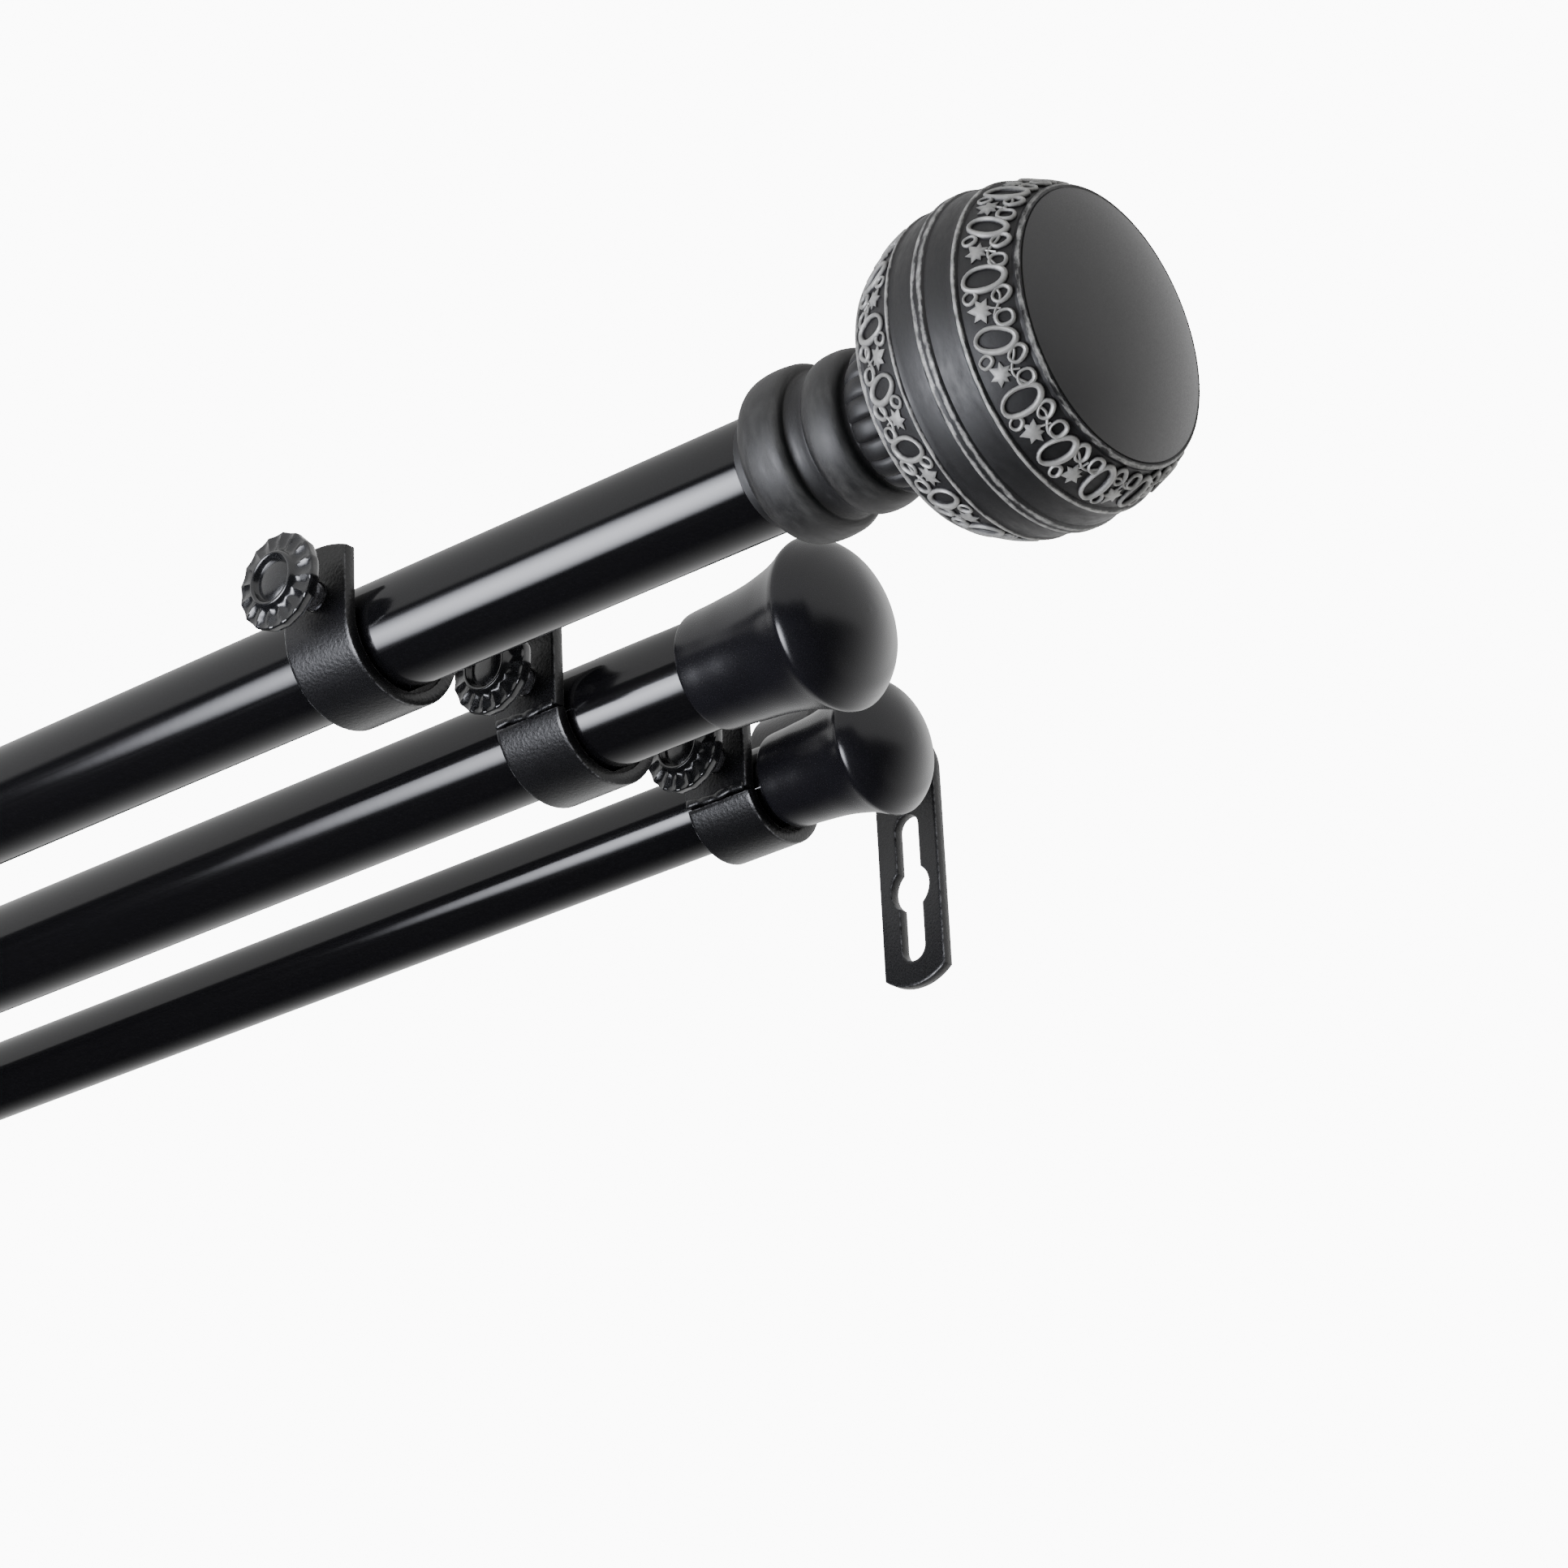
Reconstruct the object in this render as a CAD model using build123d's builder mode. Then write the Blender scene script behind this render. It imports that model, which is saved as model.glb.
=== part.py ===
from build123d import *
import os
from math import asin, cos, degrees, sin, sqrt

os.makedirs("parts", exist_ok=True)

# Triple curtain rod on two wall brackets. Millimetres, +Z up, the wall at Y = 0 with the room on -Y,
# the rods along X. The origin lies on the wall face of the right-hand bracket, 20 mm above the rods.

# ---- where things are ----
ROD_Z = -20.0
BRACKET_X = {"right": 0.0, "left": -660.0}
ROD_Y = {"front": -190.0, "middle": -124.0, "back": -62.0}
ROD_DZ = {"front": 0.0, "middle": 0.8, "back": 2.4}

# ---- tubes ----
TUBE_R = {"front": 12.7, "middle": 12.7, "back": 10.0}
TUBE_WALL = 0.8
INNER_R = {"front": 11.1, "middle": 11.1, "back": 8.5}
INNER_WALL = 0.9
RUN_FIT = 0.05
END_X = {"front": 116.4, "middle": 66.5, "back": 31.0}
OUTER_LENGTH = 660.0
INNER_END_X = {"front": -88.0, "middle": -40.0, "back": -30.0}
GLIDE_LENGTH = 22.0

# ---- bracket strap ----
STRAP_W = 19.0
STRAP_T = 3.2
CUP_R = {"front": 14.2, "middle": 14.0, "back": 10.6}
CUP_DZ = {"front": 0.4, "middle": 1.2, "back": 1.2}
LIP_TOP = 17.6
HUMP_TOP = {"front": 28.4, "middle": 28.4, "back": 32.0}
HUMP_BEND = 7.0
RISER_BEND = 11.0
PLATE_BEND = 5.5
PLATE_BOTTOM = -31.0
WELD_DZ = {"middle": -2.0, "back": -2.6}
SLOT_W = 7.0
SLOT_TOP = 14.4
SLOT_BOTTOM = -24.4
KEYHOLE_R = 5.9
KEYHOLE_Z = -5.2

# ---- thumb screws ----
SCREW_DZ = {"front": 6.0, "middle": 6.8, "back": 7.2}
STUD_R = 3.175
THREAD_PITCH = 1.27
KNOB_R = 11.2
KNOB_GAP = 6.8
KNOB_DEPTH = 6.6
FLUTES = 16

# ---- finial ----
BALL_X = 182.6
BALL_R = 35.5
RIM_R = 28.9
RIM_DX = sqrt(BALL_R ** 2 - RIM_R ** 2)
DOME_R = 75.0
DOME_SAG = DOME_R - sqrt(DOME_R ** 2 - RIM_R ** 2)


def export(part, name):
    """Name a finished piece and write its STEP file."""
    part.label = name
    export_step(part, f"parts/{name}.step")


# =====================================================================================
# Brackets: three bent straps each, welded into one, built at the right and mirrored left
# =====================================================================================

# centre of each cup in Y and Z, its strap's middle radius, and its two sides' height and place
cup_centre = {rod: (ROD_Y[rod], ROD_Z + CUP_DZ[rod]) for rod in ROD_Y}
cup_mid_r = {rod: CUP_R[rod] + STRAP_T / 2 for rod in ROD_Y}
lip_y = {rod: ROD_Y[rod] - cup_mid_r[rod] for rod in ROD_Y}
riser_y = {rod: ROD_Y[rod] + cup_mid_r[rod] for rod in ROD_Y}
hump_z = {rod: ROD_Z + top - STRAP_T / 2 for rod, top in HUMP_TOP.items()}
plate_y = -STRAP_T / 2

for side, bracket_x in BRACKET_X.items():
    section = Plane(origin=(bracket_x, 0, 0), x_dir=(0, 1, 0), z_dir=(1, 0, 0))

    # ---- front hook: free lip, front cup, hump, and the wall that stands on the middle cup ----
    with BuildPart() as front_hook:
        with BuildLine(section) as front_path:
            lip_start = (lip_y["front"], ROD_Z + LIP_TOP)
            Line(lip_start, (lip_y["front"], cup_centre["front"][1]))
            CenterArc(cup_centre["front"], cup_mid_r["front"], 180, 180)
            FilletPolyline(
                (riser_y["front"], cup_centre["front"][1]),
                (riser_y["front"], hump_z["front"]),
                (lip_y["middle"], hump_z["front"]),
                (lip_y["middle"], ROD_Z + WELD_DZ["middle"] + 0.4),
                radius=HUMP_BEND,
            )
        spine = front_path.wires()[0]
        start = Plane(origin=spine @ 0, x_dir=(1, 0, 0), z_dir=spine % 0)
        with BuildSketch(start):
            Rectangle(STRAP_W, STRAP_T)
        sweep(path=spine)
        # the lip's free end is cut to a shallow arch
        lip_face = Plane.XZ.offset(-lip_y["front"] + STRAP_T)
        with BuildSketch(lip_face):
            with Locations((bracket_x, ROD_Z + LIP_TOP)):
                Rectangle(STRAP_W + 2, 12)
            with Locations((bracket_x, ROD_Z + LIP_TOP - 22.0)):
                Circle(22.0, mode=Mode.SUBTRACT)
        extrude(amount=-2 * STRAP_T, mode=Mode.SUBTRACT)
        # tapped holes for the front and middle thumb screws
        for rod in ("front", "middle"):
            hole = Plane(
                origin=(bracket_x, lip_y[rod] - STRAP_T, ROD_Z + SCREW_DZ[rod]),
                z_dir=(0, 1, 0),
            )
            with BuildSketch(hole):
                Circle(STUD_R + RUN_FIT)
            extrude(amount=2 * STRAP_T, mode=Mode.SUBTRACT)
    export(front_hook.part, f"{side}_front_hook")

    # ---- middle hook: middle cup, hump, and the wall that stands on the back cup ----
    with BuildPart() as middle_hook:
        with BuildLine(section) as middle_path:
            dip = degrees(asin((CUP_DZ["middle"] - WELD_DZ["middle"]) / cup_mid_r["middle"]))
            CenterArc(cup_centre["middle"], cup_mid_r["middle"], 180 + dip, 180 - dip)
            FilletPolyline(
                (riser_y["middle"], cup_centre["middle"][1]),
                (riser_y["middle"], hump_z["middle"]),
                (lip_y["back"], hump_z["middle"]),
                (lip_y["back"], ROD_Z + WELD_DZ["back"] + 0.4),
                radius=HUMP_BEND,
            )
        spine = middle_path.wires()[0]
        start = Plane(origin=spine @ 0, x_dir=(1, 0, 0), z_dir=spine % 0)
        with BuildSketch(start):
            Rectangle(STRAP_W, STRAP_T)
        sweep(path=spine)
        hole = Plane(
            origin=(bracket_x, lip_y["back"] - STRAP_T, ROD_Z + SCREW_DZ["back"]),
            z_dir=(0, 1, 0),
        )
        with BuildSketch(hole):
            Circle(STUD_R + RUN_FIT)
        extrude(amount=2 * STRAP_T, mode=Mode.SUBTRACT)
    export(middle_hook.part, f"{side}_middle_hook")

    # ---- back hook: back cup, hump, and the wall plate with its double keyhole ----
    with BuildPart() as back_hook:
        with BuildLine(section) as back_path:
            dip = degrees(asin((CUP_DZ["back"] - WELD_DZ["back"]) / cup_mid_r["back"]))
            CenterArc(cup_centre["back"], cup_mid_r["back"], 180 + dip, 180 - dip)
            riser_top = hump_z["back"] - RISER_BEND
            riser = Line((riser_y["back"], cup_centre["back"][1]), (riser_y["back"], riser_top))
            TangentArc(
                riser @ 1,
                (riser_y["back"] + RISER_BEND, hump_z["back"]),
                tangent=riser % 1,
            )
            FilletPolyline(
                (riser_y["back"] + RISER_BEND, hump_z["back"]),
                (plate_y, hump_z["back"]),
                (plate_y, ROD_Z + PLATE_BOTTOM),
                radius=PLATE_BEND,
            )
        spine = back_path.wires()[0]
        start = Plane(origin=spine @ 0, x_dir=(1, 0, 0), z_dir=spine % 0)
        with BuildSketch(start):
            Rectangle(STRAP_W, STRAP_T)
        sweep(path=spine)
        # arched lower end and the double keyhole slot
        with BuildSketch(Plane.XZ.offset(STRAP_T / 2)):
            with Locations((bracket_x, ROD_Z + PLATE_BOTTOM)):
                Rectangle(STRAP_W + 2, 12)
            with Locations((bracket_x, ROD_Z + PLATE_BOTTOM + 14.6)):
                Circle(14.6, mode=Mode.SUBTRACT)
        extrude(amount=2 * STRAP_T, both=True, mode=Mode.SUBTRACT)
        with BuildSketch(Plane.XZ.offset(STRAP_T / 2)):
            with Locations((bracket_x, ROD_Z + (SLOT_TOP + SLOT_BOTTOM) / 2)):
                SlotOverall(SLOT_TOP - SLOT_BOTTOM, SLOT_W, rotation=90)
            with Locations((bracket_x, ROD_Z + KEYHOLE_Z)):
                Circle(KEYHOLE_R)
        extrude(amount=2 * STRAP_T, both=True, mode=Mode.SUBTRACT)
    export(back_hook.part, f"{side}_back_hook")

    # ---- weld beads: a half-round ridge on the room side of each seam ----
    for rod in ("middle", "back"):
        bead_y = lip_y[rod] - STRAP_T / 2
        with BuildPart() as weld_bead:
            with BuildSketch(section):
                with Locations((bead_y, ROD_Z + WELD_DZ[rod] + 0.6)):
                    Ellipse(0.9, 1.3)
                with Locations((bead_y + 1.0, ROD_Z + WELD_DZ[rod] + 0.6)):
                    Rectangle(2.0, 4.0, mode=Mode.SUBTRACT)
            extrude(amount=(STRAP_W - 0.6) / 2, both=True)
        export(weld_bead.part, f"{side}_{rod}_weld")

# =====================================================================================
# Thumb screws: a threaded stud with a fluted cast knob, one at every lip
# =====================================================================================

for side, bracket_x in BRACKET_X.items():
    for rod in ROD_Y:
        screw_z = ROD_Z + SCREW_DZ[rod]
        lip_outer = lip_y[rod] - STRAP_T / 2
        knob_back = lip_outer - KNOB_GAP
        knob_front = knob_back - KNOB_DEPTH
        # the tip stops just short of the tube
        height = SCREW_DZ[rod] - ROD_DZ[rod]
        tip_y = ROD_Y[rod] - sqrt((TUBE_R[rod] + 0.35) ** 2 - (height + 1.6) ** 2)
        if height < 4.0:
            tip_y = ROD_Y[rod] - TUBE_R[rod] - 0.35
        tip_y = min(tip_y, ROD_Y[rod] - sqrt((TUBE_R[rod] + 0.35) ** 2 - (height - 1.6) ** 2))

        with BuildPart() as stud:
            base = Plane(
                origin=(bracket_x, knob_back - 3.6, screw_z), z_dir=(0, 1, 0)
            )
            with BuildSketch(base):
                Circle(STUD_R)
            extrude(amount=tip_y - (knob_back - 3.6))
            tip_edge = stud.edges().filter_by(GeomType.CIRCLE).sort_by(Axis.Y)[-1]
            chamfer(tip_edge, length=1.2)
        export(stud.part, f"{side}_{rod}_thumb_stud")

        with BuildPart() as knob:
            # half section in (radius, depth), turned about the screw's axis
            half = Plane(
                origin=(bracket_x, knob_front, screw_z),
                x_dir=(1, 0, 0),
                z_dir=(0, 0, 1),
            )
            with BuildSketch(half):
                with BuildLine():
                    Polyline(
                        (0.0, 1.0),
                        (2.6, 1.3),
                        (4.6, 2.0),
                        (5.2, 0.5),
                        (6.0, 0.0),
                        (6.8, 0.7),
                        (KNOB_R - 0.6, 2.3),
                        (KNOB_R, 3.0),
                        (KNOB_R, 4.2),
                        (KNOB_R - 0.7, 5.0),
                        (7.4, 5.6),
                        (6.0, KNOB_DEPTH),
                        (STUD_R + RUN_FIT, KNOB_DEPTH),
                        (STUD_R + RUN_FIT, KNOB_DEPTH - 3.9),
                        (0.0, KNOB_DEPTH - 3.9),
                        close=True,
                    )
                make_face()
            screw_axis = Axis((bracket_x, knob_front, screw_z), (0, 1, 0))
            revolve(axis=screw_axis)
            # finger flutes round the edge
            rim = Plane(
                origin=(bracket_x, knob_front - 1.0, screw_z), z_dir=(0, 1, 0)
            )
            with BuildSketch(rim):
                with PolarLocations(KNOB_R + 1.9, FLUTES):
                    Circle(2.4)
            extrude(amount=KNOB_DEPTH + 2.0, mode=Mode.SUBTRACT)
        export(knob.part, f"{side}_{rod}_thumb_knob")

# =====================================================================================
# Rods: an outer tube carries the right-hand end, an inner tube the left-hand end
# =====================================================================================

for rod in ROD_Y:
    rod_y = ROD_Y[rod]
    rod_z = ROD_Z + ROD_DZ[rod]
    outer_r = TUBE_R[rod]
    inner_r = INNER_R[rod]
    right_end = END_X[rod]
    left_end = BRACKET_X["left"] - END_X[rod]
    bore_r = outer_r - TUBE_WALL

    with BuildPart() as outer_tube:
        tube_end = Plane(origin=(right_end, rod_y, rod_z), z_dir=(-1, 0, 0))
        with BuildSketch(tube_end):
            Circle(outer_r)
            Circle(bore_r, mode=Mode.SUBTRACT)
        extrude(amount=OUTER_LENGTH)
    export(outer_tube.part, f"{rod}_outer_tube")

    with BuildPart() as inner_tube:
        tube_end = Plane(origin=(left_end, rod_y, rod_z), z_dir=(1, 0, 0))
        with BuildSketch(tube_end):
            Circle(inner_r)
            Circle(inner_r - INNER_WALL, mode=Mode.SUBTRACT)
        extrude(amount=INNER_END_X[rod] - left_end)
    export(inner_tube.part, f"{rod}_inner_tube")

    # nylon glide on the hidden end of the inner tube, running in the outer tube's bore
    with BuildPart() as glide:
        glide_end = Plane(origin=(INNER_END_X[rod], rod_y, rod_z), z_dir=(-1, 0, 0))
        with BuildSketch(glide_end):
            Circle(bore_r - RUN_FIT)
            Circle(inner_r, mode=Mode.SUBTRACT)
        extrude(amount=GLIDE_LENGTH)
        with BuildSketch(glide_end):
            Circle(bore_r - RUN_FIT)
            Circle(inner_r - INNER_WALL, mode=Mode.SUBTRACT)
        extrude(amount=-1.2)
    export(glide.part, f"{rod}_glide")

# =====================================================================================
# Front rod ends: a plug in the tube, a threaded stud and the ball finial
# =====================================================================================

# (distance from the collar's back face, radius) along the collar and neck
NECK = [
    (0.0, 14.6), (0.9, 16.6), (3.0, 17.9), (7.0, 18.5), (12.0, 18.5), (15.0, 18.1),
    (16.2, 17.2), (16.6, 15.9), (18.2, 15.5), (19.8, 15.8), (20.6, 16.4), (22.6, 17.1),
    (26.0, 17.1), (28.4, 16.4), (29.4, 15.4), (29.8, 14.2), (31.2, 14.0), (31.8, 15.2),
    (33.4, 16.6), (36.0, 17.0), (38.8, 16.4), (40.6, 15.0), (41.4, 13.6), (43.2, 13.6),
]
COLLAR_X = 116.4
rod_y = ROD_Y["front"]
rod_z = ROD_Z
centre_line = Axis((0, rod_y, rod_z), (1, 0, 0))

for side, bracket_x in BRACKET_X.items():
    way = 1 if side == "right" else -1
    collar_x = bracket_x + way * COLLAR_X
    plug_r = (TUBE_R["front"] - TUBE_WALL) if side == "right" else INNER_R["front"] - INNER_WALL

    with BuildPart() as finial:
        with BuildSketch(Plane.XY.offset(rod_z)):
            with BuildLine():
                neck = [
                    (collar_x + way * dx, rod_y + radius) for dx, radius in NECK
                ]
                back_dome = [
                    (bracket_x + way * (BALL_X - RIM_DX - 1.6), rod_y + 24.0),
                    (bracket_x + way * (BALL_X - RIM_DX - 0.6), rod_y + RIM_R - 0.6),
                    (bracket_x + way * (BALL_X - RIM_DX), rod_y + RIM_R),
                ]
                Polyline((collar_x, rod_y), *neck, *back_dome)
                ThreePointArc(
                    back_dome[-1],
                    (bracket_x + way * BALL_X, rod_y + BALL_R),
                    (bracket_x + way * (BALL_X + RIM_DX), rod_y + RIM_R),
                )
                apex = bracket_x + way * (BALL_X + RIM_DX + DOME_SAG)
                half_angle = asin(RIM_R / DOME_R) / 2
                ThreePointArc(
                    (bracket_x + way * (BALL_X + RIM_DX), rod_y + RIM_R),
                    (
                        apex - way * DOME_R * (1 - cos(half_angle)),
                        rod_y + DOME_R * sin(half_angle),
                    ),
                    (apex, rod_y),
                )
                Line((apex, rod_y), (collar_x, rod_y))
            make_face()
        revolve(axis=centre_line)
        # blind hole for the stud
        with BuildSketch(Plane(origin=(collar_x, rod_y, rod_z), z_dir=(way, 0, 0))):
            Circle(4.0)
        extrude(amount=22.0, mode=Mode.SUBTRACT)
    export(finial.part, f"{side}_finial")

    with BuildPart() as finial_stud:
        stud_end = Plane(
            origin=(collar_x - way * 15.0, rod_y, rod_z), z_dir=(way, 0, 0)
        )
        with BuildSketch(stud_end):
            Circle(4.0)
        extrude(amount=36.0)
        chamfer(finial_stud.edges().filter_by(GeomType.CIRCLE), length=0.7)
    export(finial_stud.part, f"{side}_finial_stud")

    with BuildPart() as end_plug:
        plug_end = Plane(
            origin=(collar_x - way * 20.0, rod_y, rod_z), z_dir=(way, 0, 0)
        )
        with BuildSketch(plug_end):
            Circle(plug_r)
            Circle(4.0, mode=Mode.SUBTRACT)
        extrude(amount=20.0)
    export(end_plug.part, f"{side}_end_plug")

# =====================================================================================
# Flared end caps on the middle and back rods, both ends
# =====================================================================================

# (distance from the sleeve's mouth, radius) for a rod of 12.7 mm radius
CAP = [
    (0.0, 13.3), (0.0, 13.5), (0.25, 13.85), (0.9, 14.0), (3.0, 14.15), (6.0, 14.3),
    (10.0, 14.6), (14.0, 14.9), (18.0, 15.4), (22.0, 16.15), (26.0, 17.1), (29.0, 18.1),
    (31.0, 18.95), (32.6, 19.75), (33.6, 20.15), (34.3, 20.28), (35.2, 20.05), (36.5, 19.3),
    (38.0, 18.2), (39.8, 16.4), (41.5, 13.6), (43.0, 10.5), (44.2, 6.96), (44.9, 3.3),
    (45.1, 0.0),
]
MOUTH_X = {"middle": 42.2, "back": 11.2}
CAP_SCALE = {"middle": 1.0, "back": 0.84}

for rod in ("middle", "back"):
    rod_y = ROD_Y[rod]
    rod_z = ROD_Z + ROD_DZ[rod]
    k = CAP_SCALE[rod]
    for side, bracket_x in BRACKET_X.items():
        way = 1 if side == "right" else -1
        mouth_x = bracket_x + way * MOUTH_X[rod]
        bore = TUBE_R[rod] if side == "right" else INNER_R[rod]
        bore_end = END_X[rod] + 0.2 - MOUTH_X[rod]
        with BuildPart() as end_cap:
            with BuildSketch(Plane.XY.offset(rod_z)):
                with BuildLine():
                    outline = [
                        (mouth_x + way * k * dx, rod_y + k * radius) for dx, radius in CAP
                    ]
                    Polyline(*outline)
                    Polyline(
                        outline[-1],
                        (mouth_x + way * bore_end, rod_y),
                        (mouth_x + way * bore_end, rod_y + bore + 0.02),
                        (mouth_x, rod_y + bore + 0.02),
                        outline[0],
                    )
                make_face()
            revolve(axis=Axis((0, rod_y, rod_z), (1, 0, 0)))
        export(end_cap.part, f"{side}_{rod}_cap")
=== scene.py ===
import math

import bmesh
import bpy
from mathutils import Matrix, Vector


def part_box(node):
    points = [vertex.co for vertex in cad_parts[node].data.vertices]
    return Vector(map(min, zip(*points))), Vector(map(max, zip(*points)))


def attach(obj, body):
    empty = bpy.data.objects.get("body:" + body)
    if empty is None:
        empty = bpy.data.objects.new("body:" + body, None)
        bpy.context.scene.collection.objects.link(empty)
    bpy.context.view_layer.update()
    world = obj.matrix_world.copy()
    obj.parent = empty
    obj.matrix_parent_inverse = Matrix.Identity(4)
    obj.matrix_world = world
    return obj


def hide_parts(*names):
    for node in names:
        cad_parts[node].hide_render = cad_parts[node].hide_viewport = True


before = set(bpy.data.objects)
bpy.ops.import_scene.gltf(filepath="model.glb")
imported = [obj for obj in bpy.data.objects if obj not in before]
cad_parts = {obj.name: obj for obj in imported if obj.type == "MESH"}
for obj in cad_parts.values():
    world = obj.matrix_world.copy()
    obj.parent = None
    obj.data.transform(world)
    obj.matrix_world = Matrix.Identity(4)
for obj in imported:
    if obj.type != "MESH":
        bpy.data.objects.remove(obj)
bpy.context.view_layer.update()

MM = 0.001
RODS = ("front", "middle", "back")
SIDES = ("right", "left")


# ------------------------------------------------------------------ places, read from the frame


def middle_of(node):
    """Centre of a CAD node's box, in metres."""
    low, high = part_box(node)
    return (low + high) / 2


def size_of(node):
    """Length of a CAD node's box along each axis, in metres."""
    low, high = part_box(node)
    return high - low


BRACKET_X = {side: middle_of(f"{side}_front_hook").x for side in SIDES}
WAY = {"right": 1.0, "left": -1.0}
ROD_CENTRE = {rod: middle_of(f"{rod}_outer_tube") for rod in RODS}
ROD_Z = ROD_CENTRE["front"].z

# strap and cup sizes, in metres
STRAP_W = 19.0 * MM
STRAP_T = 3.2 * MM
CUP_R = {"front": 14.2 * MM, "middle": 14.0 * MM, "back": 10.6 * MM}
CUP_Z = {"front": 0.4 * MM, "middle": 1.2 * MM, "back": 1.2 * MM}
WELD_Z = {"middle": -2.0 * MM, "back": -2.6 * MM}
SCREW_Z = {"front": 6.0 * MM, "middle": 6.8 * MM, "back": 7.2 * MM}
SCREW_HOLE_R = 3.3 * MM
LIP_TOP = ROD_Z + 17.6 * MM
LIP_ARCH = 2.05 * MM
HUMP_BEND = 7.0 * MM
RISER_BEND = 11.0 * MM
PLATE_BEND = 5.5 * MM
PLATE_BOTTOM = ROD_Z - 31.0 * MM
PLATE_ARCH = 3.4 * MM
SLOT_TOP = 14.4 * MM
SLOT_BOTTOM = 24.4 * MM
SLOT_HALF = 3.5 * MM
KEYHOLE_R = 5.9 * MM
KEYHOLE_DROP = 5.2 * MM
WELD_CLEAR = 0.4 * MM
HUMP_Z = {"front": ROD_Z + 26.8 * MM, "middle": ROD_Z + 26.8 * MM, "back": ROD_Z + 30.4 * MM}


# ------------------------------------------------------------------ colour and materials


def hex_colour(code):
    """sRGB hex value as linear red, green, blue and alpha."""
    parts = [int(code[i : i + 2], 16) / 255 for i in (1, 3, 5)]
    linear = [p / 12.92 if p <= 0.04045 else ((p + 0.055) / 1.055) ** 2.4 for p in parts]
    return (*linear, 1.0)


def add(tree, kind, inputs=None, **settings):
    """Adds a node, sets its settings, and fills or links its inputs."""
    node = tree.nodes.new(kind)
    for key, value in settings.items():
        setattr(node, key, value)
    for key, value in (inputs or {}).items():
        if isinstance(value, bpy.types.NodeSocket):
            tree.links.new(value, node.inputs[key])
        else:
            node.inputs[key].default_value = value
    return node


def finish_named(name, **sockets):
    """A material with its shader wired to the output; sockets are the shader's own values."""
    material = bpy.data.materials.new(name)
    material.use_nodes = True
    tree = material.node_tree
    tree.nodes.clear()
    named = {key.replace("_", " "): value for key, value in sockets.items()}
    shader = add(tree, "ShaderNodeBsdfPrincipled", named)
    add(tree, "ShaderNodeOutputMaterial", {"Surface": shader.outputs[0]})
    return material, tree, shader


def grain(tree, cell, detail=2.0, roughness=0.5, stretch=(1, 1, 1), where="Object"):
    """Noise whose cells are about the given size in metres."""
    place = add(tree, "ShaderNodeTexCoord")
    scaled = add(
        tree,
        "ShaderNodeMapping",
        {"Vector": place.outputs[where], "Scale": [s / cell for s in stretch]},
    )
    return add(
        tree,
        "ShaderNodeTexNoise",
        {"Vector": scaled.outputs[0], "Scale": 1.0, "Detail": detail, "Roughness": roughness},
    )


def spread(tree, source, low, high, from_low=0.3, from_high=0.7):
    """Maps a value into a range."""
    return add(
        tree,
        "ShaderNodeMapRange",
        {0: source, 1: from_low, 2: from_high, 3: low, 4: high},
    ).outputs[0]


def relief(tree, shader, source, depth, under=None):
    """Bump of the given depth in metres."""
    inputs = {"Height": source, "Distance": depth, "Strength": 1.0}
    if under is not None:
        inputs["Normal"] = under
    bump = add(tree, "ShaderNodeBump", inputs)
    tree.links.new(bump.outputs[0], shader.inputs["Normal"])
    return bump.outputs[0]


def tint(tree, factor, dark, light):
    """Colour between two hex values by a factor."""
    mix = add(tree, "ShaderNodeMix", {0: factor}, data_type="RGBA")
    mix.inputs[6].default_value = hex_colour(dark)
    mix.inputs[7].default_value = hex_colour(light)
    return mix.outputs[2]


def gloss_black_enamel(name="gloss_black_enamel"):
    """Baked enamel on drawn steel tube: deep black, sharp lights, a faint draw line along the tube."""
    material, tree, shader = finish_named(name, Specular_IOR_Level=0.5)
    specks = grain(tree, 0.5 * MM, 2.0)
    tree.links.new(tint(tree, specks.outputs[0], "#060607", "#0b0b0d"), shader.inputs["Base Color"])
    drawn = grain(tree, 1.4 * MM, 2.0, 0.6, (0.02, 1, 1))
    tree.links.new(spread(tree, drawn.outputs[0], 0.09, 0.17), shader.inputs["Roughness"])
    first = relief(tree, shader, drawn.outputs[0], 0.004 * MM)
    # enamel pulls into a slow 3 mm ripple
    ripple = grain(tree, 3.0 * MM, 1.0)
    relief(tree, shader, ripple.outputs[0], 0.006 * MM, under=first)
    return material


def powder_coated_steel(name="powder_coated_steel"):
    """Powder coat on bent strap: satin black with orange peel of about 1 mm, rubbed paler at edges."""
    material, tree, shader = finish_named(name, Specular_IOR_Level=0.5)
    patch = grain(tree, 6.0 * MM, 3.0)
    coat = tint(tree, patch.outputs[0], "#08080a", "#111113")
    edge = add(tree, "ShaderNodeAttribute", attribute_name="high")
    rub = grain(tree, 1.6 * MM, 3.0, 0.6)
    rubbed = spread(tree, rub.outputs[0], 0.0, 0.9, 0.42, 0.66)
    thin = spread(tree, edge.outputs["Fac"], 0.0, 1.0, 0.55, 1.0)
    bare = add(tree, "ShaderNodeMath", {0: rubbed, 1: thin}, operation="MULTIPLY")
    shown = add(tree, "ShaderNodeMix", {0: bare.outputs[0], 6: coat}, data_type="RGBA")
    shown.inputs[7].default_value = hex_colour("#5c5c5e")
    tree.links.new(shown.outputs[2], shader.inputs["Base Color"])
    speck = grain(tree, 0.35 * MM, 2.0, 0.7)
    tree.links.new(spread(tree, speck.outputs[0], 0.24, 0.38), shader.inputs["Roughness"])
    peel = grain(tree, 0.8 * MM, 1.5)
    first = relief(tree, shader, peel.outputs[0], 0.06 * MM)
    relief(tree, shader, speck.outputs[0], 0.014 * MM, under=first)
    return material


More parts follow.
